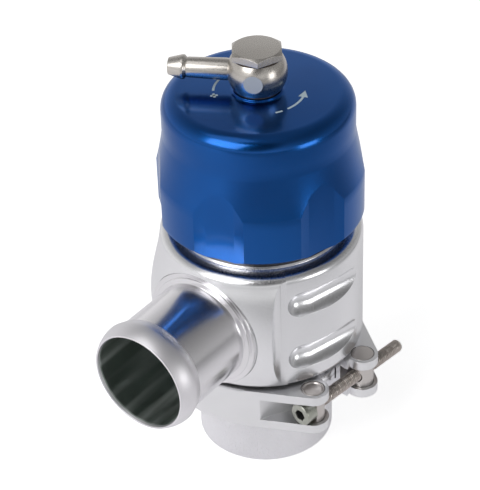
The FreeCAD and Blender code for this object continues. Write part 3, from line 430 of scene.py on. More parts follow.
# A geometry tree with named sizes and counts: the tree, its inputs' identifiers and their sockets
def startTree(name, sizes, counts):
    tree = bpy.data.node_groups.new(name, "GeometryNodeTree")
    face = tree.interface
    face.new_socket("Geometry", in_out="OUTPUT", socket_type="NodeSocketGeometry")
    kinds = {"Geometry": "Geometry", **dict.fromkeys(sizes, "Float"), **dict.fromkeys(counts, "Int"),
             "Material": "Material"}
    named = {label: face.new_socket(label, in_out="INPUT", socket_type="NodeSocket" + kind).identifier
             for label, kind in kinds.items()}
    return tree, named, addNode(tree, "NodeGroupInput").outputs


def endTree(tree, shape, material):
    real = addNode(tree, "GeometryNodeRealizeInstances", {"Geometry": shape})
    painted = addNode(tree, "GeometryNodeSetMaterial", {"Geometry": real.outputs["Geometry"],
                                                        "Material": material})
    addNode(tree, "NodeGroupOutput", {"Geometry": painted.outputs["Geometry"]})


# The piece as a geometry tree makes it from these values, as a plain mesh
def grown(piece, tree, named, values):
    step = piece.modifiers.new("grow", "NODES")
    step.node_group = tree
    for label, value in values.items():
        step[named[label]] = value
    return plain(piece)


# A wire or ridge on a helix
def helixTree():
    tree, named, given = startTree("helix", ("Radius", "Height", "Turns", "Wire"), ("Sides", "Steps"))
    spiral = addNode(tree, "GeometryNodeCurveSpiral", {
        "Rotations": given["Turns"], "Start Radius": given["Radius"], "End Radius": given["Radius"],
        "Height": given["Height"], "Resolution": given["Steps"]})
    wire = addNode(tree, "GeometryNodeCurvePrimitiveCircle", {
        "Radius": given["Wire"], "Resolution": given["Sides"]})
    sweep = addNode(tree, "GeometryNodeCurveToMesh", {
        "Curve": spiral.outputs["Curve"], "Profile Curve": wire.outputs["Curve"], "Fill Caps": True})
    endTree(tree, sweep.outputs["Mesh"], given["Material"])
    return tree, named


def helix(name, values):
    return grown(linked(name, bpy.data.meshes.new(name)), *helixTree(), values)


# Cuts a ring of upright cylinders out of the geometry it is given
def scallopTree():
    sizes = ("Cutter Radius", "Cutter Length", "Ring Radius", "Height", "First Angle")
    tree, named, given = startTree("scallops", sizes, ("Cutter Sides", "Count"))
    circle = addNode(tree, "GeometryNodeMeshCircle", {
        "Vertices": given["Count"], "Radius": given["Ring Radius"]})
    cutter = addNode(tree, "GeometryNodeMeshCylinder", {
        "Vertices": given["Cutter Sides"], "Radius": given["Cutter Radius"],
        "Depth": given["Cutter Length"]})
    scatter = addNode(tree, "GeometryNodeInstanceOnPoints", {
        "Points": circle.outputs["Mesh"], "Instance": cutter.outputs["Mesh"]})
    angles = addNode(tree, "ShaderNodeCombineXYZ", {"Z": given["First Angle"]})
    lift = addNode(tree, "ShaderNodeCombineXYZ", {"Z": given["Height"]})
    ring = addNode(tree, "GeometryNodeTransform", {
        "Geometry": scatter.outputs["Instances"], "Rotation": angles.outputs["Vector"],
        "Translation": lift.outputs["Vector"]})
    carve = addNode(tree, "GeometryNodeMeshBoolean", {
        "Mesh 1": given["Geometry"], "Mesh 2": ring.outputs["Geometry"]},
        operation="DIFFERENCE", solver="EXACT")
    endTree(tree, carve.outputs["Mesh"], given["Material"])
    return tree, named


# The flanges that meet in the clamp, and the outlet's spigot in the body
flange = {"flangeRadius": 31.0, "flangeEdge": 2.5, "flangeTaper": 20.0}
spigot = {"outletHeight": 67.95, "spigotRadius": 19.9, "spigotEnd": 28.2, "collarSeat": 34.0}
grooveShare = 0.6  # half the width of a seal's groove, in seal sections


# How far a flange reaches from the joint where its tapered flank is at this radius
def flangeDepth(f, radius):
    return f["flangeEdge"] + (f["flangeRadius"] - radius) * math.tan(math.radians(f["flangeTaper"]))


# Valve body
body = {
    **flange, **spigot, "jointHeight": 35.75, "footRadius": 25.4,
    "bottom": 45.0, "top": 94.0, "radius": 36.9, "rounding": 3.4, "neckRadius": 30.6, "neckTop": 118.0,
    "sealHeight": 113.0, "sealSection": 2.0,
    "shoulderRadius": 33.4, "bossRadius": 41.9, "bossEdgeRadius": 37.5, "bossRounding": 3.0,
    "bossHalfAngle": 40.5, "runOutRadius": 7.0, "collarSeatRadius": 22.9,
    "fingerCutter": 5.5, "fingerDepth": 3.9, "fingerAzimuth": 75.5, "fingerTurn": 20.0, "fingerStart": 58.0,
    "fingerSpacing": 23.4,
    "boreRadius": 22.0, "seatBore": 19.0, "seatHeight": 50.5, "seatWidth": 2.2, "chamberFloor": 49.0,
    "chamberRadius": 27.0, "chamberTop": 87.0, "guideBore": 23.0, "portRadius": 17.0, "cutOver": 1.0,
}


# The ball cutter's path of each finger groove: a start, a short facet and a long one
def fingerTools(b):
    tools = []
    path = b["radius"] - b["fingerDepth"] + b["fingerCutter"]
    middle = (b["bottom"] + b["top"]) / 2
    start = math.radians(b["fingerStart"])
    shortAzimuth = b["fingerAzimuth"] - b["fingerTurn"]
    startBend = math.radians(b["fingerStart"] - shortAzimuth)
    halfTurn = math.radians(b["fingerTurn"] / 2)
    spot = path / math.cos(startBend)
    facets = ((shortAzimuth, path * math.tan(startBend), path * math.tan(2 * halfTurn)),
              (b["fingerAzimuth"], -path * math.tan(halfTurn), 2 * b["radius"]))
    for side in (-1, 1):
        for level in (-1, 1):
            height = middle + level * b["fingerSpacing"] / 2
            tools.append(ball("fingerStart", b["fingerCutter"],
                              (spot * math.cos(start), side * spot * math.sin(start), height)))
            for azimuth, low, high in facets:
                facet = rod("fingerFacet", b["fingerCutter"], side * low, side * high, 128)
                moved(facet, axis="X", turn=-90)
                moved(facet, move=(path, 0, height))
                tools.append(moved(facet, turn=side * azimuth))
    return tools


# The boss round the outlet, a rounded band about the barrel's axis
def makeBoss(b, edge):
    rise = b["bossRounding"]
    diagonal = math.sqrt(0.5)
    across = b["shoulderRadius"] + (b["bossEdgeRadius"] - b["shoulderRadius"]) * diagonal
    middle = (b["bottom"] + b["top"]) / 2
    low, high = (b["bossEdgeRadius"], b["bottom"] + rise), (b["bossEdgeRadius"], b["top"] - rise)
    inset = rise * (1 - diagonal)
    profile = [(b["footRadius"], b["bottom"])]
    profile += bend((b["shoulderRadius"], b["bottom"]), (across, b["bottom"] + inset), low, 10)
    profile += bend(low, (b["bossRadius"], middle), high, 24)[1:-1]
    profile += bend(high, (across, b["top"] - inset), (b["shoulderRadius"], b["top"]), 10)
    profile += [(b["footRadius"], b["top"])]
    return lathe("boss", profile, 120, 2 * edge, -edge)


def makeBody(b):
    groove = b["sealSection"] * grooveShare
    joint, neck, grooveFloor = b["jointHeight"], b["neckRadius"], b["neckRadius"] - b["sealSection"]
    outside = lathe("valveBody", softened([
        (0, joint), (b["flangeRadius"], joint, 0.3), (b["flangeRadius"], joint + b["flangeEdge"], 0.5),
        (b["footRadius"], joint + flangeDepth(b, b["footRadius"]), 0.4), (b["footRadius"], b["bottom"], 0.4),
        (b["radius"], b["bottom"], b["rounding"]), (b["radius"], b["top"], b["rounding"]),
        (neck, b["top"], 0.3), (neck, b["sealHeight"] - groove), (grooveFloor, b["sealHeight"] - groove),
        (grooveFloor, b["sealHeight"] + groove), (neck, b["sealHeight"] + groove),
        (neck, b["neckTop"], 1.0), (0, b["neckTop"])]), 288)
    runOut = b["radius"] + b["runOutRadius"]
    cosine = (runOut ** 2 + b["bossRadius"] ** 2 - b["runOutRadius"] ** 2) / (2 * runOut * b["bossRadius"])
    edge = b["bossHalfAngle"] + math.degrees(math.acos(cosine))
    combined(outside, [makeBoss(b, edge)], "UNION")
    seat, seatEdge = b["seatBore"], b["seatBore"] + b["seatWidth"]
    low, high = joint - b["cutOver"], b["neckTop"] + b["cutOver"]
    tools = [lathe("inside", [
        (0, low), (b["boreRadius"], low), (b["boreRadius"], joint), (seat, joint + b["boreRadius"] - seat),
        (seat, b["seatHeight"]), (seatEdge, b["seatHeight"]), (seatEdge, b["chamberFloor"]),
        (b["chamberRadius"], b["chamberFloor"]), (b["chamberRadius"], b["chamberTop"]),
        (b["guideBore"], b["chamberTop"]), (b["guideBore"], high), (0, high)], 192)]
    direction = math.radians(edge)
    height, middle = b["top"] - b["bottom"], (b["bottom"] + b["top"]) / 2
    for side in (-1, 1):
        cutter = rod("runOut", b["runOutRadius"], middle - height, middle + height, 128)
        tools.append(moved(cutter, (runOut * math.cos(direction), side * runOut * math.sin(direction), 0)))
    for radius, start in ((b["portRadius"], 0), (b["spigotRadius"], b["spigotEnd"]),
                          (b["collarSeatRadius"], b["collarSeat"])):
        hole = moved(rod("outletHole", radius, start, 2 * b["bossRadius"], 192), axis="Y", turn=90)
        tools.append(moved(hole, (0, 0, b["outletHeight"])))
    return combined(outside, tools + fingerTools(b))


finished(makeBody(body), "housing", "bodySatin", ["valve_body"])
print("valve body made")

# Outlet tube
outlet = {
    **spigot, "bore": 17.75, "radius": 19.05, "mouth": 73.5, "mouthRadius": 18.8, "sealSection": 1.5,
    "sealLand": 1.5,
    "collarRadius": 22.8, "collarLength": 3.0, "stepRadius": 21.0, "stepLength": 0.9, "stepTaper": 0.4,
    "beadRadius": 20.6, "beadLength": 9.8, "beadPeak": 6.4, "beadBack": 0.9, "beadBackDrop": 0.25,
    "beadNose": 2.9, "beadNoseDrop": 0.5, "beadShoulder": 0.5, "noseEnd": 0.25, "noseEndDrop": 0.12,
    "flare": 0.45, "flareLength": 1.5, "flareBlend": 2.0,
}


def makeOutlet(o):
    inner, seal, radius, bore = o["spigotRadius"], o["sealSection"], o["radius"], o["bore"]
    seat, mouth = o["collarSeat"], o["mouth"]
    sealEnd, step = seat - o["sealLand"], seat + o["collarLength"]
    beadStart, peak, flareEnd = mouth - o["beadLength"], mouth - o["beadPeak"], mouth - o["flareLength"]
    nose = (o["mouthRadius"] + o["noseEndDrop"], mouth - o["noseEnd"])
    outline = softened([
        (bore, o["spigotEnd"]), (inner, o["spigotEnd"], 0.3), (inner, sealEnd - seal),
        (inner - seal, sealEnd - seal), (inner - seal, sealEnd), (inner, sealEnd), (inner, seat),
        (o["collarRadius"], seat), (o["collarRadius"], step, 0.5), (o["stepRadius"], step, 0.15),
        (o["stepRadius"], step + o["stepLength"] - o["stepTaper"], 0.3),
        (radius, step + o["stepLength"], 0.4), (radius, beadStart, 0.15),
        (radius + o["beadShoulder"], beadStart, 0.2),
        (o["beadRadius"] - o["beadBackDrop"], peak - o["beadBack"])], closed=False)
    outline += bend((o["beadRadius"], peak), (o["beadRadius"] - o["beadNoseDrop"], mouth - o["beadNose"]),
                    nose, 16)
    outline += softened([
        nose, (o["mouthRadius"], mouth, 0.2), (bore + o["flare"], mouth, 0.12), (bore, flareEnd, 1.0),
        (bore, flareEnd - o["flareBlend"])], closed=False)[1:]
    tube = moved(lathe("outletTube", outline, 240), axis="Y", turn=90)
    return moved(tube, (0, 0, o["outletHeight"]))


finished(makeOutlet(outlet), "housing", "outletPolished", ["outlet_tube"])

# Inlet adapter
adapter = {
    **flange, "bore": 22.0, "radius": 25.4, "chamfer": 1.2, "top": 35.72, "sealRadius": 26.5,
    "sealSection": 2.0,
}


def makeAdapter(a):
    groove = a["sealSection"] * grooveShare
    outer, inner = a["sealRadius"] + groove, a["sealRadius"] - groove
    top, floor = a["top"], a["top"] - a["sealSection"]
    return lathe("inletAdapter", softened([
        (a["bore"], 0, 0.1), (a["radius"] - a["chamfer"], 0, 0.25), (a["radius"], a["chamfer"], 0.4),
        (a["radius"], top - flangeDepth(a, a["radius"]), 0.6),
        (a["flangeRadius"], top - a["flangeEdge"], 0.4), (a["flangeRadius"], top, 0.2),
        (outer, top), (outer, floor), (inner, floor), (inner, top),
        (a["bore"], top, 0.2)]), 240)


finished(makeAdapter(adapter), "root", "adapterBrushed", ["inlet_adapter"])
print("outlet and inlet made")

# Clamp: halves are made with their gap along +X, then turned. A cutter's run-out widens the slot by the
# screw's head. "past" and "farPast" lie beyond every edge
clamp = {
    **flange, "azimuth": 82.5, "radius": 36.9, "bottom": 27.5, "top": 44.0, "lip": 26.5, "groove": 31.3,
    "gap": 12.0, "clearance": 0.15, "edge": 0.7, "lipEdge": 0.4,
    "reach": 37.0, "spread": 13.6, "trunnion": 4.25, "play": 0.18, "ear": 5.8, "slot": 9.2,
    "slotFloor": 32.7, "hinge": 39.4, "pin": 2.0, "pinEdge": 0.3, "knuckle": 4.4, "knuckleGap": 0.3,
    "dish": 0.5, "dishEdge": 0.84, "dishFloor": 0.76, "runOutCutter": 36.0, "runOutDepth": 3.3,
    "runOutTurn": 31.5, "past": 80.0, "farPast": 90.0,
}


def knuckles(c, own, extra):
    third = (c["top"] - c["bottom"]) / 3
    levels = [c["bottom"] + third] if own == "middle" else [c["bottom"], c["top"] - third]
    low, radius = c["knuckleGap"] / 2 - extra, c["knuckle"] + extra
    return [moved(rod("knuckle", radius, level + low, level + third - low), (-c["hinge"], 0, 0))
            for level in levels]


# A rounded ear that leaves the band on a tangent, as seen from above
def lugOutline(c):
    distance = math.hypot(c["reach"], c["spread"])
    lean = math.degrees(math.acos((c["radius"] - c["ear"]) / distance) + math.atan2(c["spread"], c["reach"]))
    direction = math.radians(lean)
    outline = [(radius * math.cos(direction), radius * math.sin(direction))
               for radius in (c["groove"], c["radius"])]
    outline += arc((c["reach"], c["spread"]), c["ear"], lean, -90, 30)
    return outline + [(c["groove"], c["spread"] - c["ear"])]


def makeClampHalf(c, name, side):
    joint = (c["bottom"] + c["top"]) / 2
    tan = math.tan(math.radians(c["flangeTaper"]))
    atLip, atRoot = (c["flangeEdge"] + c["clearance"] + (c["flangeRadius"] - r) * tan
                     for r in (c["lip"], c["groove"]))
    groove = [(c["lip"], joint - atLip), (c["groove"], joint - atRoot),
              (c["groove"], joint + atRoot), (c["lip"], joint + atLip)]
    band = lathe(name, softened([
        (c["lip"], c["bottom"], c["lipEdge"]), (c["radius"], c["bottom"], c["edge"]),
        (c["radius"], c["top"], c["edge"]), (c["lip"], c["top"], c["lipEdge"])] + groove[::-1]), 240)
    combined(band, [prism("lug", [(x, side * y) for x, y in lugOutline(c)], c["bottom"], c["top"])], "UNION")
    past, farPast = c["past"], c["farPast"]
    farSide = box("farSide", (-past, c["gap"] / 2 - farPast, 0), (past, c["gap"] / 2, past))
    if side < 0:
        moved(farSide, turn=180)
    own, other = ("middle", "outer") if side > 0 else ("outer", "middle")
    combined(band, [farSide])
    combined(band, knuckles(c, own, 0), "UNION")
    low, high = joint - c["slot"] / 2, joint + c["slot"] / 2
    tools = [box("slot", (c["slotFloor"], -past, low), (farPast, past, high)),
             moved(rod("hole", c["trunnion"] + c["play"], 0, past), (c["reach"], side * c["spread"], 0)),
             moved(rod("pinHole", c["pin"] + c["play"] * (side < 0), 0, past, 48), (-c["hinge"], 0, 0)),
             lathe("bandBore", [(0, groove[0][1])] + groove + [(0, groove[3][1])], 192)]
    if side < 0:
        runOut = rod("runOut", c["runOutCutter"], low, high, 192)
        moved(runOut, (c["radius"] - c["runOutDepth"] + c["runOutCutter"], 0, 0))
        tools.append(moved(runOut, turn=-c["runOutTurn"]))
    combined(band, tools + knuckles(c, other, c["knuckleGap"]))
    return moved(band, turn=c["azimuth"])


# Puts a piece that was made about Z at a lug, a distance along the screw from the gap's middle
def atLug(piece, c, along, height=0.0):
    moved(piece, (c["reach"], along, height))
    return moved(piece, turn=c["azimuth"])


for name, side, carrier, node in (("clampRearHalf", 1, "root", "clamp_rear_half"),
                                  ("clampFrontHalf", -1, "clamp_front", "clamp_front_half")):
    finished(makeClampHalf(clamp, name, side), carrier, "clampSatin", [node])
print("clamp made")

# Clamp screw, its thread and the trunnions
screw = {
    "radius": 2.5, "length": 50.0, "headRadius": 4.25, "headLength": 5.0, "headGap": 0.03, "key": 4.0,
    "keyDepth": 2.6, "keyCut": 1.0, "seat": 2.1, "play": 0.3, "pitch": 0.8, "height": 35.75,
    "threadStart": 1.2, "threadRunIn": 0.5, "threadEnd": 1.0, "threadDepth": 0.3, "ridge": 0.3,
    "ridgeSides": 4, "ridgeSteps": 28, "pointLength": 0.4, "pointChamfer": 0.5,
    "lining": 0.06, "liningGap": 0.01, "liningMouth": 0.5, "drillReach": 20.0, "seatCut": 10.0,
}


# Radius of a hexagon's corners for a width across its flats
def cornerRadius(width):
    return width / 2 / math.cos(math.pi / 6)


def hexagon(corner, first=0.0):
    return arc((0, 0), corner, first, first + 300, 5)


# Lays a piece that was made along Z on the screw's line, from the seat of the screw's head
def onScrewLine(piece, s, c):
    moved(piece, axis="X", turn=-90)
    return atLug(piece, c, -c["spread"] - s["seat"], s["height"])


def makeScrew(s, c):
    minor = s["radius"] - s["threadDepth"]
    head, gap = -s["headLength"], -s["headGap"]
    blank = lathe("clampScrew", softened([
        (0, head), (s["headRadius"], head, 0.5), (s["headRadius"], gap, 0.15), (s["radius"], gap, 0.2),
        (s["radius"], s["threadStart"], 0.1), (minor, s["threadStart"] + s["threadRunIn"]),
        (minor, s["length"] - s["pointLength"]), (minor - s["pointChamfer"], s["length"], 0.1),
        (0, s["length"])]), 96)
    key = prism("key", hexagon(cornerRadius(s["key"])), head - s["keyCut"], s["keyDepth"] + head)
    combined(blank, [key])
    return onScrewLine(blank, s, c)


# A thin dark lining of the key hole: painted shade in the socket
def makeKeyShade(s, c):
    corner = cornerRadius(s["key"])
    floor = s["keyDepth"] - s["headLength"]
    lining = prism("keyShadeLining", hexagon(corner - s["liningGap"]), s["liningMouth"] - s["headLength"],
                   floor - s["liningGap"])
    combined(lining, [prism("hollow", hexagon(corner - s["lining"]), -2 * s["headLength"],
                            floor - s["lining"])])
    return onScrewLine(lining, s, c)


def makeThread(s, c):
    run = s["length"] - s["threadStart"] - s["threadEnd"]
    thread = helix("thread", {
        "Radius": (s["radius"] - s["ridge"]) * mm, "Height": run * mm, "Turns": run / s["pitch"],
        "Wire": s["ridge"] * mm, "Sides": s["ridgeSides"], "Steps": s["ridgeSteps"],
        "Material": finishes["screwSteel"]})
    moved(thread, (0, 0, s["threadStart"] + s["threadRunIn"]))
    return onScrewLine(thread, s, c)


finished(makeScrew(screw, clamp), "screw", "headSteel", ["clamp_screw"], 35)
# The key hole's painted shade, in the dark rubber finish
finished(makeKeyShade(screw, clamp), "screw", "sealRubber")
finished(makeThread(screw, clamp), "screw", "screwSteel", crease=35)


def makeTrunnion(c, s, name, side):
    radius, dish = c["trunnion"], c["dish"]
    top = [(radius, c["top"], dish / 2)]
    if side < 0:
        top += [(radius * c["dishEdge"], c["top"], 0.15), (radius * c["dishFloor"], c["top"] - dish, 0.2),
                (0, c["top"] - dish)]
    else:
        top += [(0, c["top"])]
    pin = lathe(name, softened([(0, c["bottom"]), (radius, c["bottom"], dish / 2)] + top), 128)
    hole = rod("hole", s["radius"] + s["play"], -s["drillReach"], s["drillReach"], 48)
    tools = [moved(moved(hole, axis="X", turn=90), (0, 0, s["height"]))]
    if side < 0:
        reach = s["seatCut"]
        tools.append(box("seat", (-reach, -s["seat"] - reach, s["height"] - c["slot"] / 2),
                         (reach, -s["seat"], s["height"] + c["slot"] / 2)))
    combined(pin, tools)
    return atLug(pin, c, side * c["spread"])


def makeHingePin(c):
    pin = lathe("hingePin", softened([(0, c["bottom"]), (c["pin"], c["bottom"], c["pinEdge"]),
                                      (c["pin"], c["top"], c["pinEdge"]), (0, c["top"])]), 64)
    return moved(moved(pin, (-c["hinge"], 0, 0)), turn=c["azimuth"])


finished(makeTrunnion(clamp, screw, "frontTrunnion", -1), "front_trunnion",
         "trunnionSteel", ["front_trunnion"])
finished(makeTrunnion(clamp, screw, "rearTrunnionNut", 1), "rear_trunnion",
         "trunnionSteel", ["rear_trunnion_nut"])
finished(makeHingePin(clamp), "root", "trunnionSteel", ["clamp_hinge_pin"])
print("screw and trunnions made")

# Adjuster cap
cap = {
    "bottom": 100.0, "height": 48.6, "radius": 37.3, "edge": 1.4, "gripHeight": 18.0, "gripRows": 6,
    "waist": 34.0, "waistHeight": 33.5, "waistLength": 3.0, "flareSag": 0.25, "rounding": 7.5, "roof": 6.6,
    "bore": 30.7, "scallopRadius": 50.0, "scallopFloor": 35.2, "scallopAzimuth": 12.5, "scallops": 6,
    "scallopSides": 720, "bossRadius": 8.8, "bossHeight": 0.9, "bossFoot": 0.8, "bossFootHeight": 0.2,
    "innerBoss": 9.0, "innerBossLength": 10.0, "bolt": 5.0,
}


def makeCap(c):
    bottom, top = c["bottom"], c["bottom"] + c["height"]
    grip, waist = bottom + c["gripHeight"], bottom + c["waistHeight"]
    roof = top - c["roof"]
    innerEnd = roof - c["innerBossLength"]
    outline = softened([
        (c["bore"], bottom, 0.3), (c["radius"] - c["edge"], bottom, 0.4),
        (c["radius"], bottom + c["edge"], 0.5), (c["radius"], bottom + c["gripHeight"] / 2)])[:-1]
    outline += [(c["radius"], bottom + c["gripHeight"] * k / c["gripRows"]) for k in range(1, c["gripRows"])]
    flare = ((c["radius"] + c["waist"]) / 2 - c["flareSag"], (grip + waist) / 2)
    outline += bend((c["radius"], grip), flare, (c["waist"], waist), 20)
    outline += softened([
        (c["waist"], waist + c["waistLength"]), (c["waist"], top, c["rounding"]),
        (c["bossRadius"] + c["bossFoot"], top, 0.5), (c["bossRadius"], top + c["bossFootHeight"], 0.2),
        (c["bossRadius"], top + c["bossHeight"], 0.25), (c["bolt"], top + c["bossHeight"]),
        (c["bolt"], innerEnd), (c["innerBoss"], innerEnd, 0.3), (c["innerBoss"], roof, 0.5),
        (c["bore"], roof, 0.5), (c["bore"], waist)], closed=False)
    return grown(lathe("adjusterCap", outline, 288), *scallopTree(), {
        "Cutter Radius": c["scallopRadius"] * mm, "Cutter Sides": c["scallopSides"],
        "Cutter Length": c["height"] * 2 * mm, "Ring Radius": (c["scallopFloor"] + c["scallopRadius"]) * mm,
        "Height": (bottom + c["height"] / 2) * mm, "First Angle": math.radians(c["scallopAzimuth"]),
        "Count": c["scallops"], "Material": finishes["capBlue"]})


finished(makeCap(cap), "cap", "capBlue", ["adjuster_cap"], 20)

# Etched on the cap's top: which way to turn it for more and for less
marks = {
    "top": 148.6, "proud": 0.012, "sunk": 0.03, "line": 0.85, "head": 3.4, "headTurn": 15.0, "sign": 2.6,
    "signTurn": 12.0,
    # radius, where the arrow starts and ends, and which bar or bars stand beside it
    "arrows": ((16.4, 74.0, 107.0, "less"), (15.4, 306.0, 272.0, "more")),
}


# One piece from several
def joined(name, pieces):
    bm = bmesh.new()
    for piece in pieces:
        bm.from_mesh(piece.data)
        bpy.data.objects.remove(piece)
    mesh = bpy.data.meshes.new(name)
    bm.to_mesh(mesh)
    bm.free()
    return linked(name, mesh)


def makeMarks(m):
    low, high = m["top"] - m["sunk"], m["top"] + m["proud"]
    half = m["line"] / 2
    strokes = []
    for radius, start, end, sense in m["arrows"]:
        way = 1 if end > start else -1
        shaft = arc((0, 0), radius + half, start, end, 24) + arc((0, 0), radius - half, end, start, 24)
        strokes.append(prism("stroke", shaft, low, high))
        tip = arc((0, 0), radius, end, end + way * m["headTurn"], 1)[1]
        foot = [arc((0, 0), radius + reach * m["head"] / 2, end, end + 1, 1)[0] for reach in (-1, 1)]
        strokes.append(prism("stroke", foot + [tip], low, high))
        middle = math.radians(start - way * m["signTurn"])
        centre = (radius * math.cos(middle), radius * math.sin(middle))
        for turn in (0, 90) if sense == "more" else (0,):
            bar = box("stroke", (-m["sign"] / 2, -half, low), (m["sign"] / 2, half, high))
            moved(bar, turn=turn + math.degrees(middle) + 90)
            strokes.append(moved(bar, (*centre, 0)))
    return joined("capMarks", strokes)


finished(makeMarks(marks), "cap", "etchedWhite")
print("cap made")

# Signal fitting
fitting = {
    "washerBottom": 149.5, "washerTop": 150.3, "washerRadius": 7.9, "washerEdge": 0.15,
    "ballBottom": 150.33, "ballHeight": 11.8, "ballRadius": 10.5, "bore": 5.05, "azimuth": -62.5,
    "spot": 3.6, "spotMargin": 0.25, "spotProud": 0.02, "spotCut": 20.0, "spotCutEnd": 30.0,
    "nippleRadius": 3.6, "nippleBore": 1.8, "nippleRoot": 7.2, "nippleTip": 31.0, "nippleFit": 0.02,
    "shoulder": 0.4, "tipRadius": 3.0, "barbRadius": 4.3, "barbLength": 5.6, "barbLand": 0.15,
    "neckStart": 0.6, "neckMiddle": 0.3, "neckDepth": 0.25,
    "headWasherTop": 162.66, "headWasherThickness": 0.5, "headTop": 165.46, "headWidth": 17.0,
    "headCircle": 8.2, "headAzimuth": 37.5, "headChamfer": 30.0, "bolt": 5.0, "boltEnd": 132.06,
    "boltBore": 2.0, "cutOver": 1.0, "boltLap": 0.5,
}


# Brings a piece that was made about the ball's middle to its place, turned with the nipple
def onBall(piece, f):
    return moved(piece, (0, 0, f["ballBottom"] + f["ballHeight"] / 2), turn=f["azimuth"])


# Distance from the ball's middle to the flat spots on its sides
def spotDistance(f):
    return math.sqrt(f["ballRadius"] ** 2 - f["spot"] ** 2)


def makeSpot(f):
    spot = moved(rod("spotFace", f["spot"] - f["spotMargin"], 0, f["spotProud"], 64), axis="X", turn=-90)
    return onBall(moved(spot, (0, spotDistance(f), 0)), f)


def makeBall(f):
    middle = f["ballHeight"] / 2
    flat = math.degrees(math.asin(middle / f["ballRadius"]))
    outline = [(f["bore"], -middle)] + arc((0, 0), f["ballRadius"], -flat, flat, 40) + [(f["bore"], middle)]
    sphere = lathe("banjoFitting", outline, 192)
    side, end, near = f["spotCut"], f["spotCutEnd"], spotDistance(f)
    tools = [box("spot", (-side, near, -side), (side, end, side)),
             box("spot", (-side, -end, -side), (side, -near, side)),
             moved(rod("socket", f["nippleRadius"] - f["nippleFit"], f["nippleRoot"], side, 64),
                   axis="Y", turn=90)]
    return onBall(combined(sphere, tools), f)


def makeNipple(f):
    radius, barb = f["nippleRadius"], f["nippleTip"] - f["barbLength"]
    foot = barb - (f["barbRadius"] - radius)
    outline = softened([
        (f["nippleBore"], f["nippleRoot"]), (radius, f["nippleRoot"]),
        (radius, f["ballRadius"] + f["shoulder"], 0.3), (radius, foot - f["neckStart"], 0.2),
        (radius - f["neckDepth"], foot - f["neckMiddle"], 0.2), (radius, foot, 0.2),
        (f["barbRadius"], barb, 0.25), (f["barbRadius"], barb + f["barbLength"] * f["barbLand"], 0.25),
        (f["tipRadius"], f["nippleTip"], 0.35), (f["nippleBore"], f["nippleTip"], 0.2)])
    return onBall(moved(lathe("banjoNipple", outline, 128), axis="Y", turn=90), f)


def makeBolt(f):
    corner = cornerRadius(f["headWidth"])
    drop = (corner - f["headCircle"]) * math.tan(math.radians(f["headChamfer"]))
    bottom, top, over = f["headWasherTop"], f["headTop"], f["cutOver"]
    head = prism("banjoBolt", hexagon(corner, f["headAzimuth"]), bottom, top)
    crown = lathe("crown", softened([
        (0, bottom - over), (corner + over, bottom - over), (corner + over, top - drop),
        (corner, top - drop), (f["headCircle"], top, 0.15), (0, top)]), 192)
    combined(head, [crown], "INTERSECT")
    combined(head, [rod("shank", f["bolt"], f["boltEnd"], bottom + f["boltLap"])], "UNION")
    drillEnd = f["ballBottom"] + f["ballHeight"] / 2 + f["boltBore"]
    return combined(head, [rod("drill", f["boltBore"], f["boltEnd"] - over, drillEnd, 48)])


def makeWasher(f, name, radius, low, high):
    hole, edge = f["bolt"], f["washerEdge"]
    return lathe(name, softened([(hole, low), (radius, low, edge), (radius, high, edge), (hole, high)]), 128)


finished(makeSpot(fitting), "banjo", "groundSpot")
finished(makeBall(fitting), "banjo", "nickel", ["banjo_fitting"])
finished(makeNipple(fitting), "banjo", "nickel", ["banjo_nipple"])
finished(makeBolt(fitting), "cap", "nickel", ["banjo_bolt"])
for name, radius, low, high in (
        ("Lower", fitting["washerRadius"], fitting["washerBottom"], fitting["washerTop"]),
        ("Upper", fitting["headCircle"], fitting["headWasherTop"] - fitting["headWasherThickness"],
         fitting["headWasherTop"])):
    finished(makeWasher(fitting, "washer" + name, radius, low, high), "cap", "washerFibre",
             ["banjo_washer_" + name.lower()])
print("signal fitting made")

# Return spring in two halves that meet at its middle
coil = {
    "wire": 2.8, "radius": 18.0, "foot": 57.61, "head": 127.94, "turns": 8, "sides": 14, "steps": 48,
}


def makeSpringHalf(c, name, low, high):
    half = helix(name, {
        "Radius": (c["radius"] - c["wire"] / 2) * mm, "Height": (high - low) * mm, "Turns": c["turns"] / 2,
        "Wire": c["wire"] / 2 * mm, "Sides": c["sides"], "Steps": c["steps"],
        "Material": finishes["springSteel"]})
    return moved(half, (0, 0, low))


springFoot, springHead = coil["foot"] + coil["wire"] / 2, coil["head"] - coil["wire"] / 2
springMiddle = (springFoot + springHead) / 2
for name, low, high, bodies in (("springLower", springFoot, springMiddle, ("piston", "housing")),
                                ("springUpper", springMiddle, springHead, ("housing", "spring_seat"))):
    half = makeSpringHalf(coil, name, low, high)
    finished(half, bodies[0], "springSteel", ["return_spring"], 60)
    half.parent = None
    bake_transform(half)

# Other inner pieces keep their solids and get a finish
innerFinishes = {
    "sealRubber": ("inlet_seal", "outlet_seal", "cap_seal", "piston_seal", "seat_seal"),
    "pistonMetal": ("piston", "spring_seat"), "guidePlastic": ("piston_guide_ring", "thrust_washer"),
}
for finish, nodes in innerFinishes.items():
    for node in nodes:
        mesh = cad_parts[node].data
        mesh.materials.clear()
        mesh.materials.append(finishes[finish])
print("inner pieces finished")

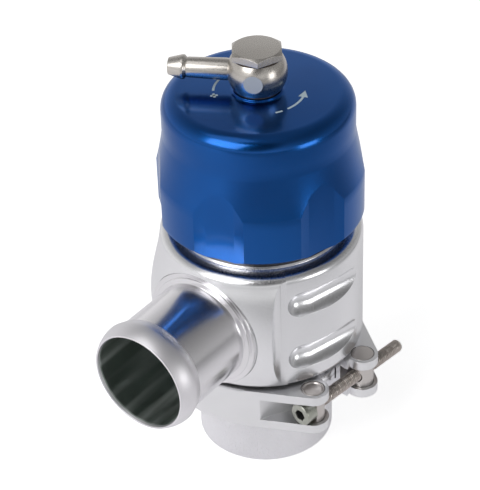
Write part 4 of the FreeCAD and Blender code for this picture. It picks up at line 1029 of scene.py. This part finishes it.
# Studio: a white floor that metal sees as grey paper, three soft boxes, and a room that is dim overhead,
# in one spot and on one side
studio = {
    "floor": 4000.0, "floorTop": -0.05, "floorBottom": -2.0, "floorColour": (0.92, 0.92, 0.92),
    "floorRoughness": 0.9, "floorLift": 0.64,
    "mirrorNear": (0.77, 0.76, 0.78), "mirrorFar": (0.58, 0.58, 0.59), "mirrorLift": 0.26,
    "fadeAzimuth": 80.0, "fadeStart": 60.0, "fadeEnd": 300.0,
    # direction round the valve from the outlet, height, distance, size, power
    "boxes": ((-7.0, 42.0, 1500.0, 940.0, 9.3), (91.0, 8.5, 900.0, 340.0, 1.0),
              (-35.0, 71.0, 1500.0, 700.0, 1.35)),
    "horizon": 0.85, "zenith": 0.28, "overhead": (0.10, 0.80),
    "dark": 0.22, "darkAzimuth": 30.0, "darkHeight": 38.0, "darkEdge": (0.84, 0.95),
    "dim": 0.5, "dimAzimuth": 130.0, "dimEdge": (0.2, 0.75),
}


def heading(azimuth, height=0.0):
    a, e = math.radians(azimuth), math.radians(height)
    return Vector((math.cos(a) * math.cos(e), math.sin(a) * math.cos(e), math.sin(e)))


def addFloor(s):
    reach = s["floor"]
    floor = box("floor", (-reach, -reach, s["floorBottom"]), (reach, reach, s["floorTop"]))
    material, tree, shader, place = newMaterial("floorWhite")
    rays = addNode(tree, "ShaderNodeLightPath").outputs
    away = vector2(tree, "DOT_PRODUCT", place, tuple(heading(s["fadeAzimuth"])))
    fade = ramp(tree, away, 0.0, 1.0, s["fadeStart"] * mm, s["fadeEnd"] * mm)
    mirrorTone = mixed(tree, fade, s["mirrorNear"], s["mirrorFar"])
    mirrorLift = math2(tree, "MULTIPLY", rays["Is Glossy Ray"],
                       ramp(tree, fade, s["mirrorLift"], 0.0, 0.0, 1.0))
    seenLift = math2(tree, "MULTIPLY", rays["Is Camera Ray"], s["floorLift"])
    feed(tree, shader, {
        "Base Color": mixed(tree, rays["Is Glossy Ray"], s["floorColour"], mirrorTone),
        "Emission Strength": math2(tree, "ADD", seenLift, mirrorLift), "Emission Color": (1, 1, 1, 1),
        "Roughness": s["floorRoughness"]})
    floor.data.materials.append(material)


def addLights(s):
    for azimuth, height, distance, size, power in s["boxes"]:
        direction = heading(azimuth, height)
        data = bpy.data.lights.new("softBox", "AREA")
        data.shape = "SQUARE"
        data.size = size * mm
        data.energy = power
        turned = direction.to_track_quat("Z", "Y").to_matrix().to_4x4()
        linked("softBox", data).matrix_world = Matrix.Translation(direction * distance * mm) @ turned


# 1 over most of the room, falling to this level across an edge, for directions that lean one way
def shaded(tree, direction, lean, level, edge):
    return ramp(tree, vector2(tree, "DOT_PRODUCT", direction, tuple(lean)), 1.0, level, *edge)


def addRoom(s):
    world = bpy.data.worlds.new("room")
    world.use_nodes = True
    bpy.context.scene.world = world
    tree = world.node_tree
    tree.nodes.clear()
    direction = addNode(tree, "ShaderNodeTexCoord").outputs["Generated"]
    height = addNode(tree, "ShaderNodeSeparateXYZ", {0: direction}).outputs["Z"]
    level = ramp(tree, height, s["horizon"], s["zenith"], *s["overhead"])
    dark = shaded(tree, direction, heading(s["darkAzimuth"], s["darkHeight"]), s["dark"], s["darkEdge"])
    shade = math2(tree, "MULTIPLY", dark,
                  shaded(tree, direction, heading(s["dimAzimuth"]), s["dim"], s["dimEdge"]))
    seen = addNode(tree, "ShaderNodeLightPath").outputs["Is Camera Ray"]
    strength = mixed(tree, seen, math2(tree, "MULTIPLY", level, shade), 1.0, "FLOAT")
    sky = addNode(tree, "ShaderNodeBackground", {"Color": (1, 1, 1, 1), "Strength": strength})
    addNode(tree, "ShaderNodeOutputWorld", {"Surface": sky.outputs["Background"]})


addFloor(studio)
addLights(studio)
addRoom(studio)
bpy.context.scene.view_settings.view_transform = "Standard"
print("studio set")
